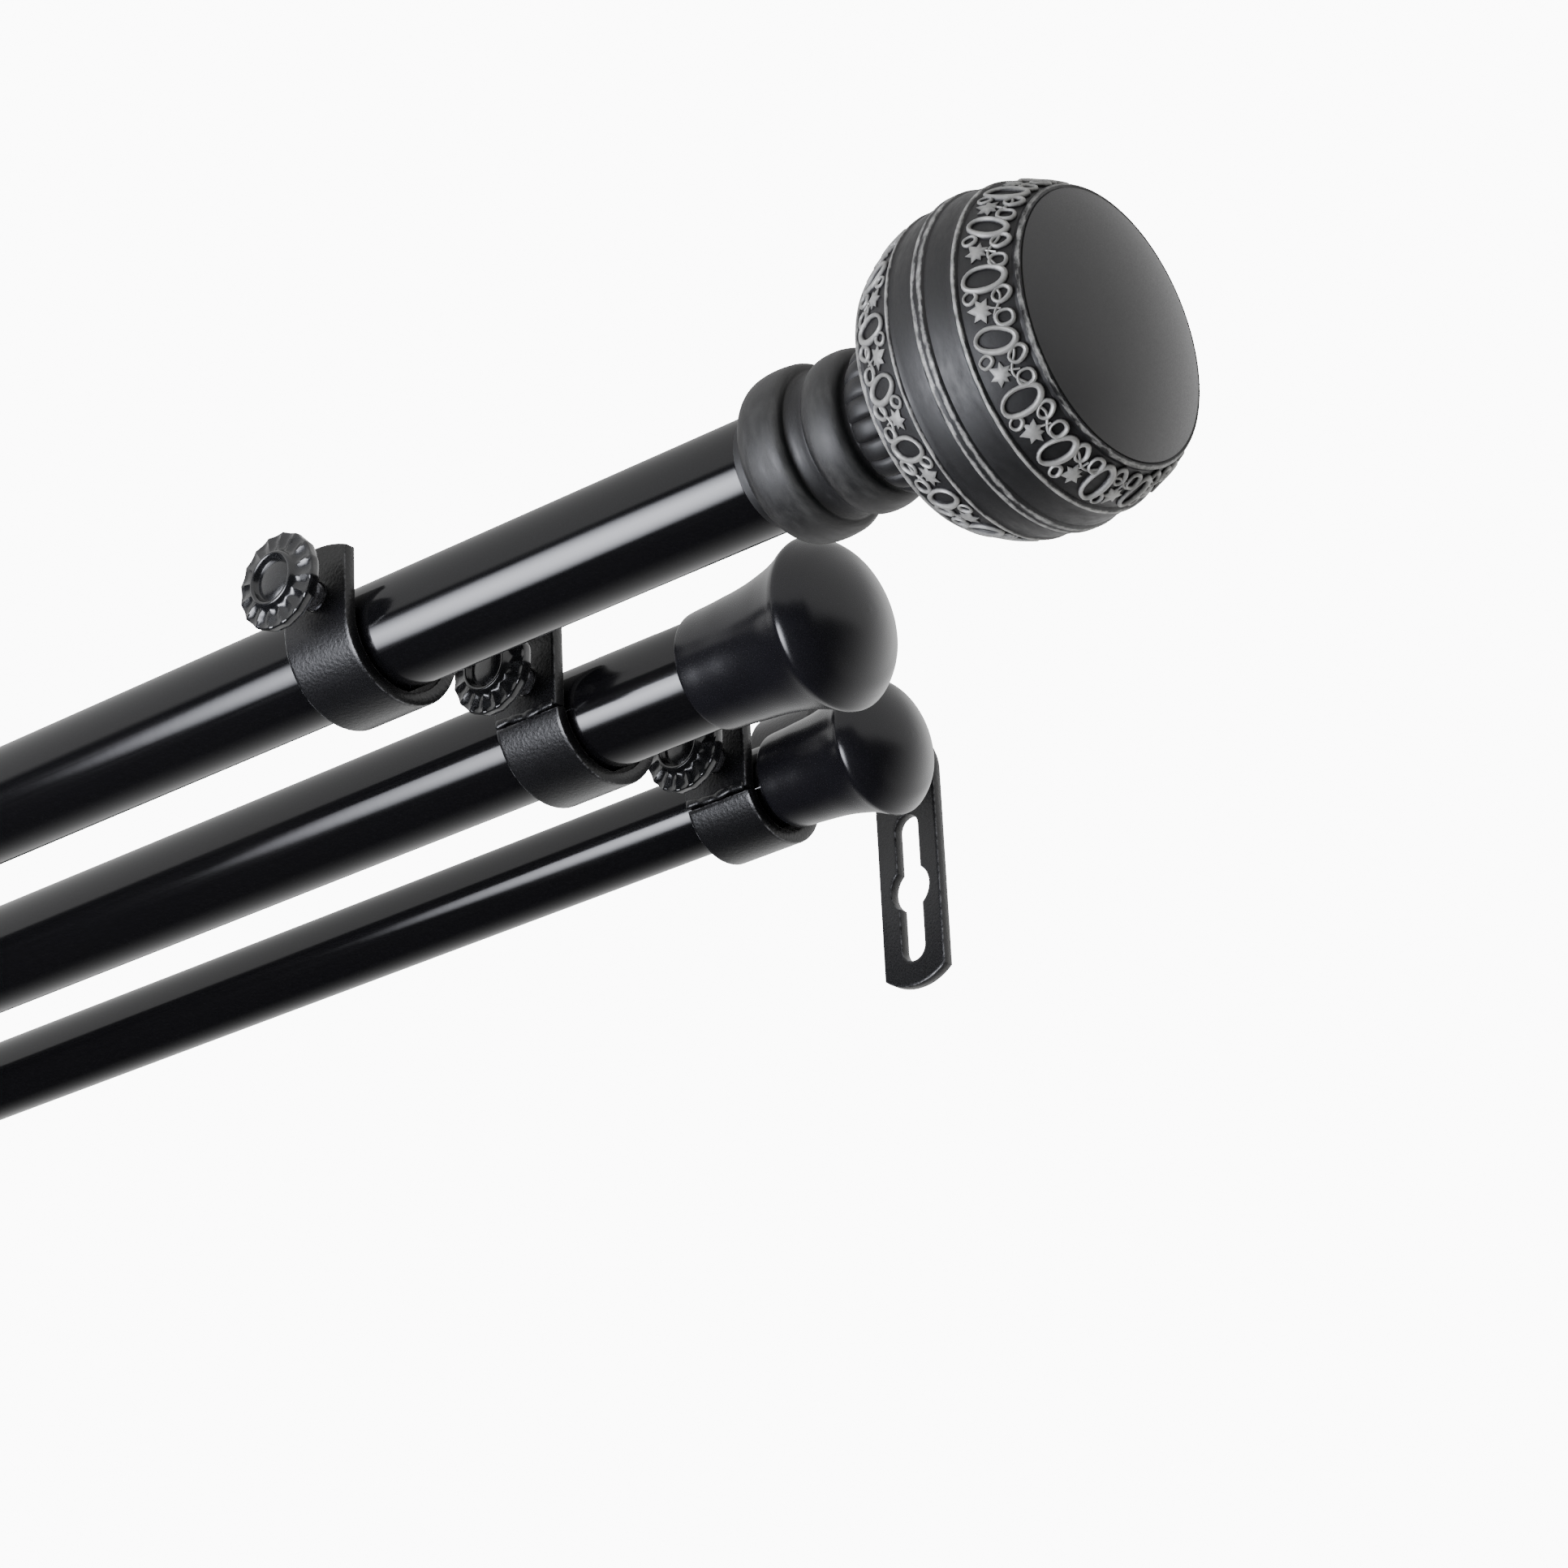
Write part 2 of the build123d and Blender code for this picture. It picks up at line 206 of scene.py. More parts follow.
def lacquered_zinc(name="lacquered_zinc"):
    """Die-cast zinc under gloss black lacquer: bright hard lights and slight casting ripple."""
    material, tree, shader = finish_named(
        name, Specular_IOR_Level=0.6, Coat_Weight=0.35, Coat_Roughness=0.12
    )
    cloud = grain(tree, 2.0 * MM, 2.0)
    tree.links.new(tint(tree, cloud.outputs[0], "#070708", "#101114"), shader.inputs["Base Color"])
    tree.links.new(spread(tree, cloud.outputs[0], 0.20, 0.32), shader.inputs["Roughness"])
    cast = grain(tree, 1.1 * MM, 2.0)
    relief(tree, shader, cast.outputs[0], 0.03 * MM)
    return material


def blackened_thread_steel(name="blackened_thread_steel"):
    """Rolled thread with black plating, its colour mottled between dark and pale steel grey in small
    random patches.
    """
    material, tree, shader = finish_named(name, Metallic=0.55, Specular_IOR_Level=0.5)
    steel_mottle = grain(tree, 0.6 * MM, 3.0, 0.7)
    # colour mottled at random between dark and pale grey, spread over the whole stud
    tree.links.new(tint(tree, steel_mottle.outputs[0], "#26262a", "#77777c"), shader.inputs["Base Color"])
    tree.links.new(spread(tree, steel_mottle.outputs[0], 0.16, 0.34), shader.inputs["Roughness"])
    relief(tree, shader, steel_mottle.outputs[0], 0.01 * MM)
    return material


def satin_lacquer_cap(name="satin_lacquer_cap"):
    """Satin black lacquer over a spun cap: broad soft lights with a fine 0.3 mm spray grain."""
    material, tree, shader = finish_named(name, Specular_IOR_Level=0.5)
    cloud = grain(tree, 9.0 * MM, 2.0)
    tree.links.new(tint(tree, cloud.outputs[0], "#0a0a0d", "#101014"), shader.inputs["Base Color"])
    spray = grain(tree, 0.3 * MM, 2.0, 0.6)
    tree.links.new(spread(tree, spray.outputs[0], 0.20, 0.28), shader.inputs["Roughness"])
    relief(tree, shader, spray.outputs[0], 0.006 * MM)
    return material


def antiqued_cast_resin(name, streak, silver_dark, silver_light, amount):
    """Cast resin, black with silver paint dragged over the high parts: streaks follow the drag."""
    material, tree, shader = finish_named(name, Specular_IOR_Level=0.5)
    high = add(tree, "ShaderNodeAttribute", attribute_name="high")
    drag = grain(tree, 1.6 * MM, 4.0, 0.65, streak, "UV")
    dab = grain(tree, 3.2 * MM, 3.0, 0.6)
    dragged = spread(tree, drag.outputs[0], -0.28, 0.20, 0.32, 0.68)
    dabbed = spread(tree, dab.outputs[0], -0.16, 0.10, 0.34, 0.66)
    mixed = add(tree, "ShaderNodeMath", {0: dragged, 1: dabbed}, operation="ADD")
    lifted = add(tree, "ShaderNodeMath", {0: mixed.outputs[0], 1: high.outputs["Fac"]}, operation="ADD")
    paint = add(
        tree, "ShaderNodeMapRange", {0: lifted.outputs[0], 1: 0.38, 2: 1.10, 3: 0.0, 4: amount}
    )
    silver = tint(tree, drag.outputs[0], silver_dark, silver_light)
    coat = add(tree, "ShaderNodeMix", {0: paint.outputs[0]}, data_type="RGBA")
    coat.inputs[6].default_value = hex_colour("#0e0e0f")
    tree.links.new(silver, coat.inputs[7])
    tree.links.new(coat.outputs[2], shader.inputs["Base Color"])
    tree.links.new(spread(tree, paint.outputs[0], 0.0, 0.75, 0.0, 1.0), shader.inputs["Metallic"])
    tree.links.new(spread(tree, drag.outputs[0], 0.46, 0.62), shader.inputs["Roughness"])
    first = relief(tree, shader, drag.outputs[0], 0.02 * MM)
    fine = grain(tree, 0.4 * MM, 2.0)
    relief(tree, shader, fine.outputs[0], 0.012 * MM, under=first)
    return material


def satin_resin_painted_lit_grey(name="satin_resin_painted_lit_grey"):
    """Plain cast resin, sprayed satin: soft broad lights, a few pinpricks of dust. Its grey base, lighter
    than the black resin, is painted light for the face turned to the light.
    """
    material, tree, shader = finish_named(name, Specular_IOR_Level=0.5)
    cloud = grain(tree, 14.0 * MM, 2.0)
    # painted light: the face's grey base stands in for the light falling on it; the cloud only varies it
    # at random
    tree.links.new(tint(tree, cloud.outputs[0], "#2a2a2b", "#323233"), shader.inputs["Base Color"])
    spray = grain(tree, 0.3 * MM, 2.0, 0.6)
    tree.links.new(spread(tree, spray.outputs[0], 0.40, 0.52), shader.inputs["Roughness"])
    relief(tree, shader, spray.outputs[0], 0.008 * MM)
    return material


def moulded_nylon(name="moulded_nylon"):
    """Natural nylon: milky, faintly glossy, with a fine mould texture."""
    material, tree, shader = finish_named(name, Subsurface_Weight=0.1, IOR=1.53)
    cloud = grain(tree, 2.5 * MM, 2.0)
    tree.links.new(tint(tree, cloud.outputs[0], "#cfcabb", "#dedace"), shader.inputs["Base Color"])
    tree.links.new(spread(tree, cloud.outputs[0], 0.38, 0.5), shader.inputs["Roughness"])
    relief(tree, shader, grain(tree, 0.4 * MM).outputs[0], 0.01 * MM)
    return material


def moulded_black_abs(name="moulded_black_abs"):
    """Black ABS plug: dull sheen and a fine spark-eroded texture."""
    material, tree, shader = finish_named(name, IOR=1.54)
    cloud = grain(tree, 2.5 * MM, 2.0)
    tree.links.new(tint(tree, cloud.outputs[0], "#141414", "#1c1c1c"), shader.inputs["Base Color"])
    tree.links.new(spread(tree, cloud.outputs[0], 0.42, 0.56), shader.inputs["Roughness"])
    relief(tree, shader, grain(tree, 0.3 * MM).outputs[0], 0.012 * MM)
    return material


def zinc_plated_steel(name="zinc_plated_steel"):
    """Bright zinc plating on a rolled stud: pale grey metal with a slight cloud."""
    material, tree, shader = finish_named(name, Metallic=1.0)
    cloud = grain(tree, 1.5 * MM, 3.0)
    tree.links.new(tint(tree, cloud.outputs[0], "#9fa3a6", "#c3c6c8"), shader.inputs["Base Color"])
    tree.links.new(spread(tree, cloud.outputs[0], 0.24, 0.4), shader.inputs["Roughness"])
    relief(tree, shader, cloud.outputs[0], 0.01 * MM)
    return material


ENAMEL = gloss_black_enamel()
POWDER = powder_coated_steel()
LACQUER = lacquered_zinc()
THREAD = blackened_thread_steel()
CAP = satin_lacquer_cap()
NECK = antiqued_cast_resin("antiqued_resin_neck", (0.3, 1, 1), "#2a2a29", "#5c5c5a", 0.34)
# end face material: its grey base is painted light
FACE = satin_resin_painted_lit_grey()
BALL = antiqued_cast_resin("antiqued_resin_ball", (0.4, 1, 1), "#5a5a59", "#d6d6d3", 1.0)
NYLON = moulded_nylon()
ABS = moulded_black_abs()
ZINC = zinc_plated_steel()


# ------------------------------------------------------------------ mesh helpers


def settle(mesh, name, material, angle=35.0):
    """Turns a bmesh into a finished object with smooth shading and kept edges."""
    bmesh.ops.recalc_face_normals(mesh, faces=mesh.faces)
    data = bpy.data.meshes.new(name)
    mesh.to_mesh(data)
    mesh.free()
    data.shade_smooth()
    data.set_sharp_from_angle(angle=math.radians(angle))
    data.materials.append(material)
    made = bpy.data.objects.new(name, data)
    bpy.context.scene.collection.objects.link(made)
    return made


def through(points, per_step=6):
    """A smooth line through the points, in as many steps between each pair."""
    fine = []
    for i in range(len(points) - 1):
        p0 = Vector(points[max(i - 1, 0)])
        p1, p2 = Vector(points[i]), Vector(points[i + 1])
        p3 = Vector(points[min(i + 2, len(points) - 1)])
        for k in range(per_step):
            t = k / per_step
            a = 2 * p1
            b = (p2 - p0) * t
            c = (2 * p0 - 5 * p1 + 4 * p2 - p3) * t * t
            d = (3 * p1 - p0 - 3 * p2 + p3) * t * t * t
            fine.append(tuple((a + b + c + d) / 2))
    fine.append(tuple(points[-1]))
    return fine


def turned(profile, steps, start=0.0, sweep=2 * math.pi):
    """A bmesh turned about the X axis from (x, radius, high) points; ends on the axis are closed."""
    mesh = bmesh.new()
    high = mesh.verts.layers.float.new("high")
    uv = mesh.loops.layers.uv.new("UVMap")
    full = abs(sweep - 2 * math.pi) < 1e-6
    columns = steps if full else steps + 1
    rings = []
    along = [0.0]
    for i in range(1, len(profile)):
        along.append(along[-1] + math.dist(profile[i][:2], profile[i - 1][:2]))
    for x, radius, level in profile:
        if radius < 1e-7:
            vert = mesh.verts.new((x, 0, 0))
            vert[high] = level
            rings.append([vert])
            continue
        ring = []
        for k in range(columns):
            angle = start + sweep * k / steps
            vert = mesh.verts.new((x, radius * math.cos(angle), radius * math.sin(angle)))
            vert[high] = level
            ring.append(vert)
        rings.append(ring)
    for i in range(len(rings) - 1):
        a, b = rings[i], rings[i + 1]
        reach = max(profile[i][1], profile[i + 1][1])
        for k in range(steps):
            n = (k + 1) % columns
            corners = [(a[k % len(a)], k, i)]
            if len(a) > 1:
                corners.append((a[n], k + 1, i))
            if len(b) > 1:
                corners.append((b[n], k + 1, i + 1))
            corners.append((b[k % len(b)], k, i + 1))
            unique = []
            for corner in corners:
                if corner[0] not in [u[0] for u in unique]:
                    unique.append(corner)
            if len(unique) < 3:
                continue
            face = mesh.faces.new([u[0] for u in unique])
            for loop, (_, column, row) in zip(face.loops, unique):
                turn = start + sweep * column / steps
                loop[uv].uv = (turn * reach, along[row])
    return mesh


def put(mesh, origin, way=1.0):
    """Moves a bmesh made about the X axis to a rod's line; way -1 faces it to the left."""
    for vert in mesh.verts:
        x, y, z = vert.co
        vert.co = (origin[0] + way * x, origin[1] + y, origin[2] + z)
    return mesh


# ------------------------------------------------------------------ geometry node trees


def repeat_tree():
    """Copies a shape round and along the X axis, joins the copies, then puts them in place."""
    tree = bpy.data.node_groups.new("repeat_round_axis", "GeometryNodeTree")
    wanted = [
        ("Shape", "NodeSocketGeometry"),
        ("Copies", "NodeSocketInt"),
        ("Turn", "NodeSocketFloat"),
        ("Rise", "NodeSocketFloat"),
        ("Facing", "NodeSocketVector"),
        ("Place", "NodeSocketVector"),
        ("Weld", "NodeSocketFloat"),
        ("Finish", "NodeSocketMaterial"),
    ]
    for name, kind in wanted:
        tree.interface.new_socket(name, in_out="INPUT", socket_type=kind)
    tree.interface.new_socket("Result", in_out="OUTPUT", socket_type="NodeSocketGeometry")
    given = add(tree, "NodeGroupInput").outputs
    index = add(tree, "GeometryNodeInputIndex")
    turn = add(
        tree, "ShaderNodeMath", {0: index.outputs[0], 1: given["Turn"]}, operation="MULTIPLY"
    )
    rise = add(
        tree, "ShaderNodeMath", {0: index.outputs[0], 1: given["Rise"]}, operation="MULTIPLY"
    )
    line = add(tree, "GeometryNodeMeshLine", {"Count": given["Copies"], "Offset": (0, 0, 0)})
    shift = add(tree, "ShaderNodeCombineXYZ", {"X": rise.outputs[0]})
    stepped = add(
        tree,
        "GeometryNodeSetPosition",
        {"Geometry": line.outputs[0], "Offset": shift.outputs[0]},
    )
    euler = add(tree, "ShaderNodeCombineXYZ", {"X": turn.outputs[0]})
    rotation = add(tree, "FunctionNodeEulerToRotation", {0: euler.outputs[0]})
    copies = add(
        tree,
        "GeometryNodeInstanceOnPoints",
        {
            "Points": stepped.outputs[0],
            "Instance": given["Shape"],
            "Rotation": rotation.outputs[0],
        },
    )
    real = add(tree, "GeometryNodeRealizeInstances", {"Geometry": copies.outputs[0]})
    merged = add(
        tree,
        "GeometryNodeMergeByDistance",
        {"Geometry": real.outputs[0], "Distance": given["Weld"]},
    )
    placed = add(
        tree,
        "GeometryNodeTransform",
        {
            "Geometry": merged.outputs[0],
            "Translation": given["Place"],
            "Rotation": given["Facing"],
        },
    )
    final = add(
        tree,
        "GeometryNodeSetMaterial",
        {"Geometry": placed.outputs[0], "Material": given["Finish"]},
    )
    add(tree, "NodeGroupOutput", {0: final.outputs[0]})
    return tree


def thread_tree():
    """A helical ridge with closed ends, along the X axis, put in place."""
    tree = bpy.data.node_groups.new("screw_thread", "GeometryNodeTree")
    wanted = [
        ("Shape", "NodeSocketGeometry"),
        ("Root", "NodeSocketFloat"),
        ("Turns", "NodeSocketFloat"),
        ("Length", "NodeSocketFloat"),
        ("Ridge", "NodeSocketFloat"),
        ("Facing", "NodeSocketVector"),
        ("Place", "NodeSocketVector"),
        ("Finish", "NodeSocketMaterial"),
    ]
    for name, kind in wanted:
        tree.interface.new_socket(name, in_out="INPUT", socket_type=kind)
    tree.interface.new_socket("Result", in_out="OUTPUT", socket_type="NodeSocketGeometry")
    given = add(tree, "NodeGroupInput").outputs
    helix = add(
        tree,
        "GeometryNodeCurveSpiral",
        {
            "Resolution": 28,
            "Rotations": given["Turns"],
            "Start Radius": given["Root"],
            "End Radius": given["Root"],
            "Height": given["Length"],
        },
    )
    section = add(
        tree, "GeometryNodeCurvePrimitiveCircle", {"Resolution": 5, "Radius": given["Ridge"]}
    )
    ridge = add(
        tree,
        "GeometryNodeCurveToMesh",
        {"Curve": helix.outputs[0], "Profile Curve": section.outputs[0], "Fill Caps": True},
    )
    joined = add(tree, "GeometryNodeJoinGeometry")
    tree.links.new(given["Shape"], joined.inputs[0])
    tree.links.new(ridge.outputs[0], joined.inputs[0])
    placed = add(
        tree,
        "GeometryNodeTransform",
        {
            "Geometry": joined.outputs[0],
            "Translation": given["Place"],
            "Rotation": given["Facing"],
        },
    )
    real = add(tree, "GeometryNodeRealizeInstances", {"Geometry": placed.outputs[0]})
    final = add(
        tree,
        "GeometryNodeSetMaterial",
        {"Geometry": real.outputs[0], "Material": given["Finish"]},
    )
    add(tree, "NodeGroupOutput", {0: final.outputs[0]})
    return tree


REPEAT = repeat_tree()
SCREW_THREAD = thread_tree()


def grown(name, start, tree, angle=35.0, **values):
    """Runs a node tree on a starting shape and keeps the result as a plain mesh object."""
    modifier = start.modifiers.new("grow", "NODES")
    modifier.node_group = tree
    for item in tree.interface.items_tree:
        if item.in_out == "INPUT" and item.name in values:
            modifier[item.identifier] = values[item.name]
    ready = start.evaluated_get(bpy.context.evaluated_depsgraph_get())
    data = bpy.data.meshes.new_from_object(ready)
    data.name = name
    made = bpy.data.objects.new(name, data)
    bpy.context.scene.collection.objects.link(made)
    start.modifiers.remove(modifier)
    bpy.data.objects.remove(start)
    tidy = bmesh.new()
    tidy.from_mesh(data)
    bmesh.ops.recalc_face_normals(tidy, faces=tidy.faces)
    tidy.to_mesh(data)
    tidy.free()
    data.shade_smooth()
    data.set_sharp_from_angle(angle=math.radians(angle))
    return made


def finished(piece, body, slot, *nodes):
    """Hangs a piece on its body and hides the CAD nodes it stands for; the slot is not used."""
    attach(piece, body)
    if nodes:
        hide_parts(*nodes)
    return piece


# ------------------------------------------------------------------ bent strap


def bend_line(*runs):
    """A strap's centre line in Y and Z: runs of ("line", start, end) and
    ("arc", centre, radius, from, to) with angles in degrees."""
    pieces, total = [], 0.0
    for run in runs:
        if run[0] == "line":
            length = math.dist(run[1], run[2])
        else:
            length = run[2] * math.radians(abs(run[4] - run[3]))
        pieces.append((total, length, run))
        total += length
    return pieces, total


def on_line(pieces, u):
    """Point and unit normal at a distance along the centre line."""
    for begin, length, run in pieces:
        if u <= begin + length + 1e-9 or (begin, length, run) == pieces[-1]:
            t = u - begin
            if run[0] == "line":
                (y0, z0), (y1, z1) = run[1], run[2]
                dy, dz = (y1 - y0) / length, (z1 - z0) / length
                return (y0 + dy * t, z0 + dz * t), (-dz, dy)
            _, (cy, cz), radius, a0, a1 = run
            sign = 1 if a1 > a0 else -1
            a = math.radians(a0) + sign * t / radius
            point = (cy + radius * math.cos(a), cz + radius * math.sin(a))
            tangent = (-sign * math.sin(a), sign * math.cos(a))
            return point, (-tangent[1], tangent[0])
    raise ValueError("off the end of the strap")


def cuts_on(pieces, step=7.0):
    """Places along the line where the strap needs a row of points to bend."""
    places = []
    for begin, length, run in pieces:
        if run[0] == "arc":
            count = max(2, math.ceil(abs(run[4] - run[3]) / step))
            places += [begin + length * k / count for k in range(count + 1)]
    return places


def inset(loop, distance):
    """A closed outline moved to its left by a distance, corners mitred."""
    moved = []
    count = len(loop)
    for i in range(count):
        a, b, c = Vector(loop[i - 1]), Vector(loop[i]), Vector(loop[(i + 1) % count])
        n1 = Vector((-(b - a).y, (b - a).x)).normalized()
        n2 = Vector((-(c - b).y, (c - b).x)).normalized()
        n = (n1 + n2).normalized()
        moved.append(tuple(b + n * distance / max(n.dot(n1), 0.4)))
    return moved


def arch(u, half, rise, outward, count=14):
    """An end of the flat strap, from one edge to the other, bowed outward."""
    radius = (half * half + rise * rise) / (2 * rise)
    points = []
    for k in range(count + 1):
        v = -half + 2 * half * k / count
        bow = math.sqrt(radius * radius - v * v) - (radius - rise)
        points.append((u + outward * bow, v))
    return points


def strap(name, pieces, total, ends, holes, x, material, thick=STRAP_T, edge=0.45 * MM):
    """A bent strap: cut flat with rounded edges, arched ends and holes, then bent to its line."""
    half = STRAP_W / 2
    first = arch(0.0, half, ends[0], -1) if ends[0] else [(0.0, -half), (0.0, half)]
    last = arch(total, half, ends[1], 1) if ends[1] else [(total, -half), (total, half)]
    outer = list(reversed(first)) + last
    loops = [outer, *[list(reversed(hole)) for hole in holes]]
    mesh = bmesh.new()
    worn = mesh.verts.layers.float.new("high")
    flat = 1.0 * MM
    rows = [(flat, 0.0, 0.0), (edge, 0.0, 0.5), (edge * 0.3, edge * 0.3, 1.0), (0.0, edge, 0.5)]
    rows += [(0.0, thick - edge, 0.5), (edge * 0.3, thick - edge * 0.3, 1.0)]
    rows += [(edge, thick, 0.5), (flat, thick, 0.0)]
    rims = []
    for loop in loops:
        rings = []
        for shrink, height, rub in rows:
            ring = [mesh.verts.new((u, v, height - thick / 2)) for u, v in inset(loop, shrink)]
            for vert in ring:
                vert[worn] = rub
            rings.append(ring)
        for a, b in zip(rings, rings[1:]):
            for k in range(len(a)):
                n = (k + 1) % len(a)
                mesh.faces.new((a[k], a[n], b[n], b[k]))
        rims.append((rings[0], rings[-1]))
    for side in (0, 1):
        edges = []
        for rim in rims:
            ring = rim[side]
            for k in range(len(ring)):
                edges.append(mesh.edges.get((ring[k], ring[(k + 1) % len(ring)])))
        bmesh.ops.triangle_fill(mesh, edges=edges, use_beauty=True, use_dissolve=False)
    for place in cuts_on(pieces):
        if 1e-6 < place < total - 1e-6:
            bmesh.ops.bisect_plane(
                mesh,
                geom=mesh.verts[:] + mesh.edges[:] + mesh.faces[:],
                dist=1e-7,
                plane_co=(place, 0, 0),
                plane_no=(1, 0, 0),
            )
    for vert in mesh.verts:
        u, v, w = vert.co
        (y, z), (ny, nz) = on_line(pieces, min(max(u, 0.0), total))
        beyond = u - min(max(u, 0.0), total)
        vert.co = (x + v, y + ny * w, z + nz * w)
        if beyond:
            # past an end the strap runs straight on
            vert.co.y += nz * beyond
            vert.co.z += -ny * beyond
    bmesh.ops.remove_doubles(mesh, verts=mesh.verts, dist=1e-7)
    return settle(mesh, name, material, 40.0)


def round_hole(u, v, radius, count=32):
    """A round hole's outline in the flat strap."""
    return [
        (u + radius * math.cos(2 * math.pi * k / count), v + radius * math.sin(2 * math.pi * k / count))
        for k in range(count)
    ]


def keyhole(u_top, u_bottom, u_round, slot_half, radius):
    """A slot with a round opening part way along, as one outline."""
    meet = math.asin(slot_half / radius)
    points = []
    for k in range(13):
        a = -math.pi / 2 - math.pi * k / 12
        points.append((u_top + slot_half + slot_half * math.cos(a), slot_half * math.sin(a)))
    for k in range(17):
        a = math.pi - meet - (math.pi - 2 * meet) * k / 16
        points.append((u_round + radius * math.cos(a), radius * math.sin(a)))
    for k in range(13):
        a = math.pi / 2 - math.pi * k / 12
        points.append((u_bottom - slot_half + slot_half * math.cos(a), slot_half * math.sin(a)))
    for k in range(17):
        a = -meet - (math.pi - 2 * meet) * k / 16
        points.append((u_round + radius * math.cos(a), radius * math.sin(a)))
    return list(reversed(points))


def hooks(side):
    """The three welded straps of one bracket."""
    x = BRACKET_X[side]
    mid = {rod: CUP_R[rod] + STRAP_T / 2 for rod in RODS}
    cy = {rod: ROD_CENTRE[rod].y for rod in RODS}
    cz = {rod: ROD_Z + CUP_Z[rod] for rod in RODS}
    lip = {rod: cy[rod] - mid[rod] for rod in RODS}
    riser = {rod: cy[rod] + mid[rod] for rod in RODS}
    bend = HUMP_BEND
    made = {}

    def hump(rod, onward, bottom):
        """From a cup's far side up, over, and down the next cup's wall."""
        top = HUMP_Z[rod]
        return [
            ("line", (riser[rod], cz[rod]), (riser[rod], top - bend)),
            ("arc", (riser[rod] + bend, top - bend), bend, 180, 90),
            ("line", (riser[rod] + bend, top), (lip[onward] - bend, top)),
            ("arc", (lip[onward] - bend, top - bend), bend, 90, 0),
            ("line", (lip[onward], top - bend), (lip[onward], bottom)),
        ]

    # front: free arched lip, cup, hump and the wall on the middle cup
    straight = LIP_TOP - LIP_ARCH
    runs = [
        ("line", (lip["front"], straight), (lip["front"], cz["front"])),
        ("arc", (cy["front"], cz["front"]), mid["front"], 180, 360),
        *hump("front", "middle", ROD_Z + WELD_Z["middle"] + WELD_CLEAR),
    ]
    line, total = bend_line(*runs)
    first_hole = straight - (ROD_Z + SCREW_Z["front"])
    second_hole = total - (SCREW_Z["middle"] - WELD_Z["middle"] - WELD_CLEAR)
    holes = [round_hole(at, 0, SCREW_HOLE_R) for at in (first_hole, second_hole)]
    made["front"] = strap(f"{side}_front_strap", line, total, (LIP_ARCH, 0), holes, x, POWDER)

    # middle: cup, hump and the wall on the back cup
    dip = math.degrees(math.asin((CUP_Z["middle"] - WELD_Z["middle"]) / mid["middle"]))
    runs = [
        ("arc", (cy["middle"], cz["middle"]), mid["middle"], 180 + dip, 360),
        *hump("middle", "back", ROD_Z + WELD_Z["back"] + WELD_CLEAR),
    ]
    line, total = bend_line(*runs)
    at = total - (SCREW_Z["back"] - WELD_Z["back"] - WELD_CLEAR)
    holes = [round_hole(at, 0, SCREW_HOLE_R)]
    made["middle"] = strap(f"{side}_middle_strap", line, total, (0, 0), holes, x, POWDER)

    # back: cup, wide bend and the wall plate with its keyhole
    dip = math.degrees(math.asin((CUP_Z["back"] - WELD_Z["back"]) / mid["back"]))
    wide, tight = RISER_BEND, PLATE_BEND
    high = HUMP_Z["back"]
    plate_y = -STRAP_T / 2
    foot = PLATE_BOTTOM + PLATE_ARCH
    runs = [
        ("arc", (cy["back"], cz["back"]), mid["back"], 180 + dip, 360),
        ("line", (riser["back"], cz["back"]), (riser["back"], high - wide)),
        ("arc", (riser["back"] + wide, high - wide), wide, 180, 90),
        ("line", (riser["back"] + wide, high), (plate_y - tight, high)),
        ("arc", (plate_y - tight, high - tight), tight, 90, 0),
        ("line", (plate_y, high - tight), (plate_y, foot)),
    ]
    line, total = bend_line(*runs)
    at = total + foot - ROD_Z
    slot = keyhole(at - SLOT_TOP, at + SLOT_BOTTOM, at + KEYHOLE_DROP, SLOT_HALF, KEYHOLE_R)
    made["back"] = strap(f"{side}_back_strap", line, total, (0, PLATE_ARCH), [slot], x, POWDER)
    for rod, piece in made.items():
        finished(piece, "brackets", "bracket", f"{side}_{rod}_hook")


# ------------------------------------------------------------------ weld beads


def weld_bead(side, rod):
    """A low uneven fused ridge across the seam, folded over at its right end."""
    x = BRACKET_X[side]
    y = ROD_CENTRE[rod].y - CUP_R[rod] - STRAP_T
    z = ROD_Z + WELD_Z[rod] + 0.5 * MM
    mesh = bmesh.new()
    rows, columns = 44, 8
    half = STRAP_W / 2 - 0.5 * MM
    rings = []
    for i in range(rows + 1):
        along = -half + 2 * half * i / rows
        lump = math.sin(i * 0.53) + 0.6 * math.sin(i * 0.21 + 2.0) + 0.25 * math.sin(i * 1.1)
        end = along / half
        tall = (0.95 + 0.14 * lump + 0.35 * max(end, 0.0) ** 8) * MM
        proud = (0.5 + 0.09 * lump + 0.25 * max(end, 0.0) ** 8) * MM
        drift = 0.30 * MM * math.sin(i * 0.19 + (1.0 if rod == "back" else 0.0))
        if i in (0, rows):
            tall, proud = tall * 0.35, proud * 0.35
        ring = []
        for k in range(columns + 1):
            a = math.pi * k / columns
            ring.append(
                mesh.verts.new((x + along, y - proud * math.sin(a), z + drift + tall * math.cos(a)))
            )
        rings.append(ring)
    for a, b in zip(rings, rings[1:]):
        for k in range(columns):
            mesh.faces.new((a[k], a[k + 1], b[k + 1], b[k]))
        mesh.faces.new((a[0], b[0], b[columns], a[columns]))
    mesh.faces.new(rings[0])
    mesh.faces.new(rings[-1])
    piece = settle(mesh, f"{side}_{rod}_weld_bead", POWDER, 60.0)
    finished(piece, "brackets", "weld", f"{side}_{rod}_weld")


# ------------------------------------------------------------------ thumb screws


KNOB_FLUTES = 16
THREAD_PITCH = 1.27 * MM


